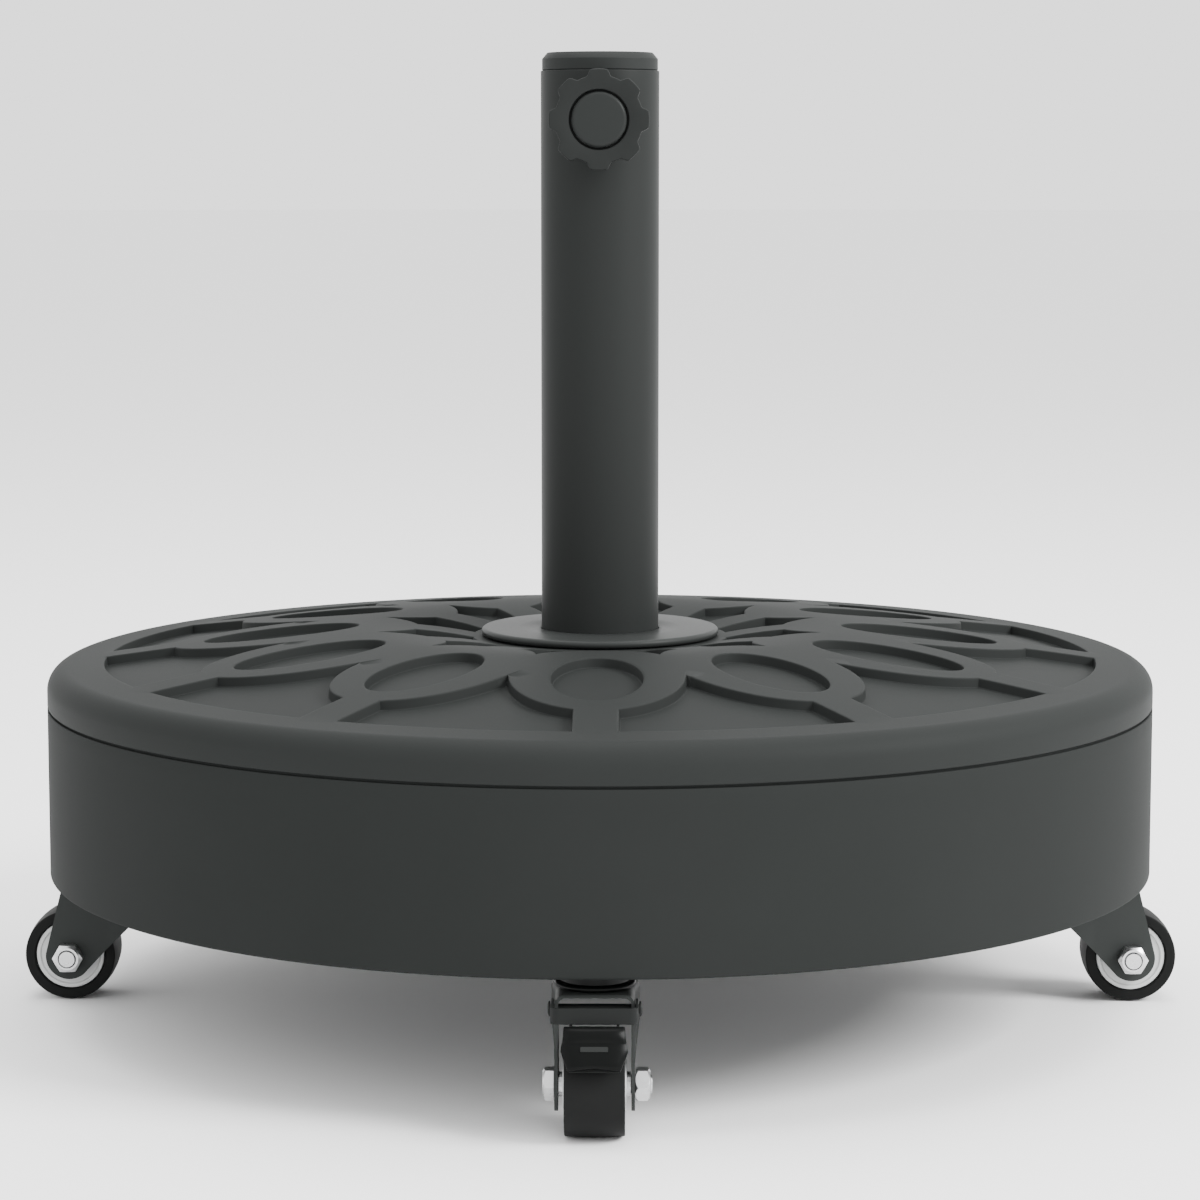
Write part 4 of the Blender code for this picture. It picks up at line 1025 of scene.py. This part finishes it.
def tyre_rubber(name):
    """Black rubber with a dusty bloom and a fine matt grain."""
    finish = new_finish(name, 0.12)
    bloom = noise(finish, 90.0, 6.0)
    tinted(finish, bloom, (0.0030, 0.0033, 0.0032), (0.0062, 0.0066, 0.0064))
    glossed(finish, bloom, 0.5, 0.68)
    embossed(finish, noise(finish, 2600.0).outputs["Fac"], 0.3, 0.00002)
    return finish


def hub_shape():
    """Turned hub: boss, dished web and a rim that the tyre grips."""
    bore = 0.0053
    outer = hub_radius - 0.0003
    low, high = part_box("wheel_hub_right")
    boss = (high.y - low.y) / 2
    face = wheel_half - 0.0008
    web = face - 0.0007
    half = [(bore, boss), (HUB_BOSS - 0.0005, boss), (HUB_BOSS, boss - 0.0005), (HUB_BOSS, web)]
    half += [(HUB_BOSS + 0.0008, web - 0.0001), (outer - 0.0022, web), (outer - 0.0016, face)]
    half += [(outer - 0.0003, face), (outer, face - 0.0003)]
    return shifted(along_y(turned(mirrored(half), 96)), x=WHEEL_TRAIL, z=axle_height)


tyre = as_piece("tyre_master", tyre_shape(), tyre_rubber("tyre_rubber"))
on_castors("tyre", tyre, "wheel", "wheel_tyre", "tyre_rubber")
nylon = moulded_plastic("hub_nylon", (0.50, 0.51, 0.505), (0.58, 0.59, 0.585), 0.42, specular=0.4)
on_castors("hub", as_piece("hub_master", hub_shape(), nylon, 40), "wheel", "wheel_hub", "hub_plastic")
for side in castor_frames:
    refinish("axle_sleeve_" + side, zinc)


# ---------------------------
# Axle bolts and nuts
# An M8 zinc-plated hexagon bolt crosses each fork. Its head and the nut have
# chamfered corners and a turned washer face, and the bolt's rolled thread ends
# just proud of the nut.

HEX_FLATS = 0.0121
HEX_CHAMFER = 0.0015
BOLT_RADIUS = 0.00395
NUT_BORE = 0.0042
HEAD_GAP = 0.0003


def hexagon_blank(near, far, both_ends):
    """A hexagon whose corners are turned off at its outer face."""
    corner = HEX_FLATS / math.sqrt(3)
    flat = HEX_FLATS / 2
    hexagon = pressed([ring_points(corner, 6)], near, far)
    past, wide = near - 0.001, corner + 0.0004
    cone = [(0, past), (flat + 0.0001, past), (flat + 0.0001, near), (wide, near + HEX_CHAMFER)]
    if not both_ends:
        cone = [(0, past), (wide, past)]
    cone += [(wide, far - HEX_CHAMFER), (flat - 0.0009, far), (0, far)]
    return hexagon, turned(cone, 72)


def bolt_piece():
    """Bolt with its head at -Y and the end of its thread past the nut."""
    head_face = -LEG_FACE - HEAD_GAP
    hexagon, cone = hexagon_blank(-head_face, -bolt_low.y, False)
    head = carved(as_piece("bolt_master", hexagon), ("INTERSECT", cone))
    flip = Matrix.Rotation(math.pi / 2, 4, "X")
    head.data.transform(flip)
    start = head_face - 0.002
    shank = threaded_rod(BOLT_RADIUS, start, bolt_high.y, THREAD_PITCH, THREAD_DEPTH * 0.8, 32, 6)
    carved(head, ("UNION", along_y(shank)))
    head.data.transform(Matrix.Translation((WHEEL_TRAIL, 0, axle_height)))
    return finished(head, zinc, 25)


def nut_piece():
    """Nut at +Y, chamfered both ends and bored for the bolt."""
    hexagon, cone = hexagon_blank(nut_low.y, nut_high.y, True)
    nut = carved(as_piece("nut_master", hexagon), ("INTERSECT", cone))
    bore = pressed([ring_points(NUT_BORE, 48)], 0, 0.03)
    carved(nut, ("DIFFERENCE", bore))
    across = Matrix.Rotation(-math.pi / 2, 4, "X")
    nut.data.transform(Matrix.Translation((WHEEL_TRAIL, 0, axle_height)) @ across)
    return finished(nut, zinc, 25)


def in_castor(side, node):
    """A node's box in its castor's own directions."""
    low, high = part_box(f"{node}_{side}")
    corners = [castor_frames[side].inverted() @ Vector(c) for c in (low, high)]
    return [Vector(map(pick, *corners)) for pick in (min, max)]


bolt_low, bolt_high = in_castor("left", "axle_bolt")
nut_low, nut_high = in_castor("left", "axle_nut")
end_for_end = Matrix.Translation((WHEEL_TRAIL, 0, 0)) @ Matrix.Rotation(math.pi, 4, "Z")
end_for_end = end_for_end @ Matrix.Translation((-WHEEL_TRAIL, 0, 0))
for name, piece in (("axle_bolt", bolt_piece), ("axle_nut", nut_piece)):
    same = [side for side in castor_frames if in_castor(side, "axle_nut")[0].y > 0]
    other = [side for side in castor_frames if side not in same]
    on_castors(name[5:] + "_zinc", piece(), "castor", name, "zinc", same)
    if other:
        turned_piece = piece()
        turned_piece.data.transform(end_for_end)
        on_castors(name[5:] + "_zinc", turned_piece, "castor", name, "zinc", other)


# ---------------------------
# Foot brakes
# On the front and back castors a yoke of painted sheet steel wraps the fork and
# turns on a headed pin. Its slotted tongue hangs in front of the tyre and holds
# a glossy black pedal; pressing it down swings the tongue onto the tread.

YOKE_SHEET = 0.0011
YOKE_CORNER = 0.0035
YOKE_BAND = 0.006
YOKE_EAR = 0.004
TONGUE_TILT = math.radians(25.3)
TONGUE_HALF = 0.0098
TONGUE_LENGTH = 0.0195
TONGUE_SLOT = 0.0013
YOKE_REACH = 0.032
YOKE_DROP = 0.0021
YOKE_GAP = 0.0003
PEDAL_GAP = 0.0003
RIB_DROP = 0.009646

yoke_top = fork_high.z - YOKE_DROP
yoke_face = LEG_FACE + YOKE_GAP + YOKE_SHEET
pedal_top = -TONGUE_SLOT - PEDAL_GAP
pedal_back = YOKE_SHEET / 2 + PEDAL_GAP


def tongue_frame():
    """Where the tongue hangs: X outward from the wheel, Z up its slope."""
    root = (YOKE_REACH - YOKE_SHEET, 0, yoke_top - YOKE_BAND)
    return Matrix.Translation(root) @ Matrix.Rotation(-TONGUE_TILT, 4, "Y")


def on_slope(shape):
    """Stand a shape made in the (across, along, out) directions on the tongue."""
    swap = Matrix(((0, 0, 1, 0), (1, 0, 0, 0), (0, 1, 0, 0), (0, 0, 0, 1)))
    shape.transform(tongue_frame() @ swap)
    return shape


def yoke_piece():
    """The bent band, trimmed to its ears, with the slotted tongue joined on."""
    back = BRAKE_PIVOT - 2 * YOKE_EAR
    corner = YOKE_CORNER
    inner = corner - YOKE_SHEET
    right = (YOKE_REACH - corner, -yoke_face + corner)
    left = (YOKE_REACH - corner, yoke_face - corner)
    plan = [(back, -yoke_face)] + bend(right, corner, -90, 0, 8) + bend(left, corner, 0, 90, 8)
    plan += [(back, yoke_face), (back, yoke_face - YOKE_SHEET)]
    plan += bend(left, inner, 90, 0, 8) + bend(right, inner, 0, -90, 8)
    plan.append((back, -yoke_face + YOKE_SHEET))
    outline = bend((BRAKE_PIVOT, brake_height), YOKE_EAR, 90, 270, 14)
    outline += [(YOKE_REACH + corner, yoke_top - YOKE_BAND), (YOKE_REACH + corner, yoke_top)]
    outline += [(YOKE_REACH - 2 * corner, yoke_top)]
    plate = [(-TONGUE_HALF, YOKE_BAND / 3), (-TONGUE_HALF, -TONGUE_LENGTH)]
    plate += [(TONGUE_HALF, -TONGUE_LENGTH), (TONGUE_HALF, YOKE_BAND / 3)]
    half_slot = TONGUE_HALF - 0.0012
    slot = [(-half_slot, 0), (-half_slot, -TONGUE_SLOT), (half_slot, -TONGUE_SLOT), (half_slot, 0)]
    tongue = as_piece("tongue", pressed([plate], -YOKE_SHEET / 2, YOKE_SHEET / 2))
    carved(tongue, ("DIFFERENCE", pressed([slot], -corner, corner)))
    tongue_shape = bmesh.new()
    tongue_shape.from_mesh(tongue.data)
    bpy.data.objects.remove(tongue)
    yoke = as_piece("yoke_master", pressed([plan], 0.02, 0.07))
    carved(
        yoke,
        ("INTERSECT", side_cut(outline, 0.04)),
        ("DIFFERENCE", cross_hole(BRAKE_PIN_HOLE, BRAKE_PIVOT, brake_height, 32)),
        ("UNION", on_slope(tongue_shape)),
    )
    return worn_edges(finished(yoke, yoke_paint, 25), 0.0002)


def pedal_shape():
    """Moulded pedal: rolled top, a crease, then a flatter foot with a notch."""
    height = pedal_top + TONGUE_LENGTH
    # Share of the way down, half width, thickness at the middle.
    stations = (
        (0.0, 0.0116, 0.0006),
        (0.015, 0.0119, 0.0016),
        (0.06, 0.0120, 0.0026),
        (0.14, 0.0121, 0.0033),
        (0.24, 0.0122, 0.0036),
        (0.33, 0.0124, 0.0034),
        (0.38, 0.0126, 0.0029),
        (0.41, 0.0128, 0.0027),
        (0.46, 0.0130, 0.0030),
        (0.56, 0.0131, 0.0033),
        (0.68, 0.0124, 0.0035),
        (0.82, 0.0114, 0.0037),
        (0.93, 0.0107, 0.0037),
        (0.985, 0.0103, 0.0032),
        (1.0, 0.0101, 0.0024),
    )
    across = [-1, -0.97, -0.9, -0.75, -0.5, -0.25, 0, 0.25, 0.5, 0.75, 0.9, 0.97, 1]
    shape = bmesh.new()
    rings = []
    for share, half, thick in stations:
        front, rear = [], []
        for at in across:
            notch = 0.0010 * (1 - abs(at)) * max(0.0, share - 0.8) / 0.2
            along = pedal_top - height * share + notch
            out = pedal_back + thick * (1 - 0.55 * abs(at) ** 5) * (1 - 0.10 * at * at)
            front.append(shape.verts.new((half * at, along, out)))
            rear.append(shape.verts.new((half * at, along, pedal_back)))
        rings.append(front + rear[::-1])
    skinned(shape, rings)
    for ring in (rings[0], rings[-1]):
        for step in range(len(across) - 1):
            shape.faces.new((ring[step], ring[step + 1], ring[-step - 2], ring[-step - 1]))
    return on_slope(shape)


def pedal_rib_shape():
    """A plain raised foot rib across the middle of the pedal."""
    half_long, half_high, soft = 0.0054, 0.0010, 0.0004
    out = pedal_back + 0.0030
    outline = []
    for start, side, end in ((0, 1, 1), (90, -1, 1), (180, -1, -1), (270, 1, -1)):
        centre = (side * (half_long - soft), pedal_top - RIB_DROP + end * (half_high - soft))
        outline += bend(centre, soft, start, start + 90, 3)
    return on_slope(pressed([outline], out, out + 0.00055))


def brake_pin_shape():
    """Pin with two low domed heads."""
    end = in_castor("front", "brake_pin")[1].y
    shoulder = end - 0.0012
    head = 0.0032
    half = [(0, end), (head * 0.6, end - 0.0001), (head * 0.92, end - 0.0005), (head, shoulder)]
    half += [(0.002, shoulder)]
    return shifted(along_y(turned(mirrored(half), 40)), x=BRAKE_PIVOT, z=brake_height)


yoke_paint = powder_coat("yoke_paint", (0.0095, 0.0103, 0.0100), (0.0120, 0.0130, 0.0126), 0.36)
PEDAL_TONES = ((0.0026, 0.0029, 0.0028), (0.0038, 0.0042, 0.0040))
pedal_black = moulded_plastic("pedal_black", *PEDAL_TONES, 0.3, 0.04, 900.0, 0.06)
rib_grey = moulded_plastic("rib_grey", (0.0170, 0.0180, 0.0176), (0.0200, 0.0212, 0.0206), 0.4)
on_castors("yoke", yoke_piece(), "brake", "brake_lever", "lever_paint", braked_sides)
pedal = as_piece("pedal_master", pedal_shape(), pedal_black, 50)
on_castors("pedal", pedal, "brake", "brake_shoe", "shoe_plastic", braked_sides)
rib = as_piece("rib_master", pedal_rib_shape(), rib_grey)
on_castors("pedal_rib", rib, "brake", "brake_shoe", "shoe_plastic", braked_sides)
pin = as_piece("pin_master", brake_pin_shape(), yoke_paint)
on_castors("pivot_pin", pin, "castor", "brake_pin", "zinc", braked_sides)


# ---------------------------
# Studio
# A pale seamless floor under soft light: a broad key from the upper right, a
# weaker fill from the left and an overhead sheet, in an even white surround.

floor = as_piece("floor", pressed([ring_points(30, 96)], -0.1, 0))
pale = new_finish("studio_floor", 0.1)
pale.node_tree.nodes["Principled BSDF"].inputs["Base Color"].default_value = (0.94, 0.94, 0.94, 1)
pale.node_tree.nodes["Principled BSDF"].inputs["Roughness"].default_value = 0.9
floor.data.materials.append(pale)

surround = bpy.data.worlds.new("surround")
bpy.context.scene.world = surround
surround.use_nodes = True
sky = surround.node_tree.nodes["Background"]
sky.inputs["Color"].default_value = (1, 1, 1, 1)
sky.inputs["Strength"].default_value = 1.9


def soft_light(name, place, target, size, power):
    """A square area light that faces a point."""
    lamp = bpy.data.lights.new(name, "AREA")
    lamp.shape = "SQUARE"
    lamp.size = size
    lamp.energy = power
    light = bpy.data.objects.new(name, lamp)
    light.location = place
    aim = Vector(target) - Vector(place)
    light.rotation_euler = aim.to_track_quat("-Z", "Y").to_euler()
    bpy.context.scene.collection.objects.link(light)


soft_light("key", (2.1, -1.0, 1.7), (0, 0, 0.15), 1.1, 130)
soft_light("fill", (-2.4, -1.6, 1.3), (0, 0, 0.15), 1.6, 6)
soft_light("overhead", (0, 0.3, 2.6), (0, 0, 0), 2.2, 70)

camera_data = bpy.data.cameras.new("camera")
camera_data.lens = 107.55
camera_data.sensor_width = 36.0
camera_data.clip_end = 100.0
camera = bpy.data.objects.new("camera", camera_data)
camera.location = (0.0138, -1.6234, 0.3803)
camera.rotation_euler = (Vector((0, 0, 0.1837)) - camera.location).to_track_quat("-Z", "Y").to_euler()
bpy.context.scene.collection.objects.link(camera)
bpy.context.scene.camera = camera
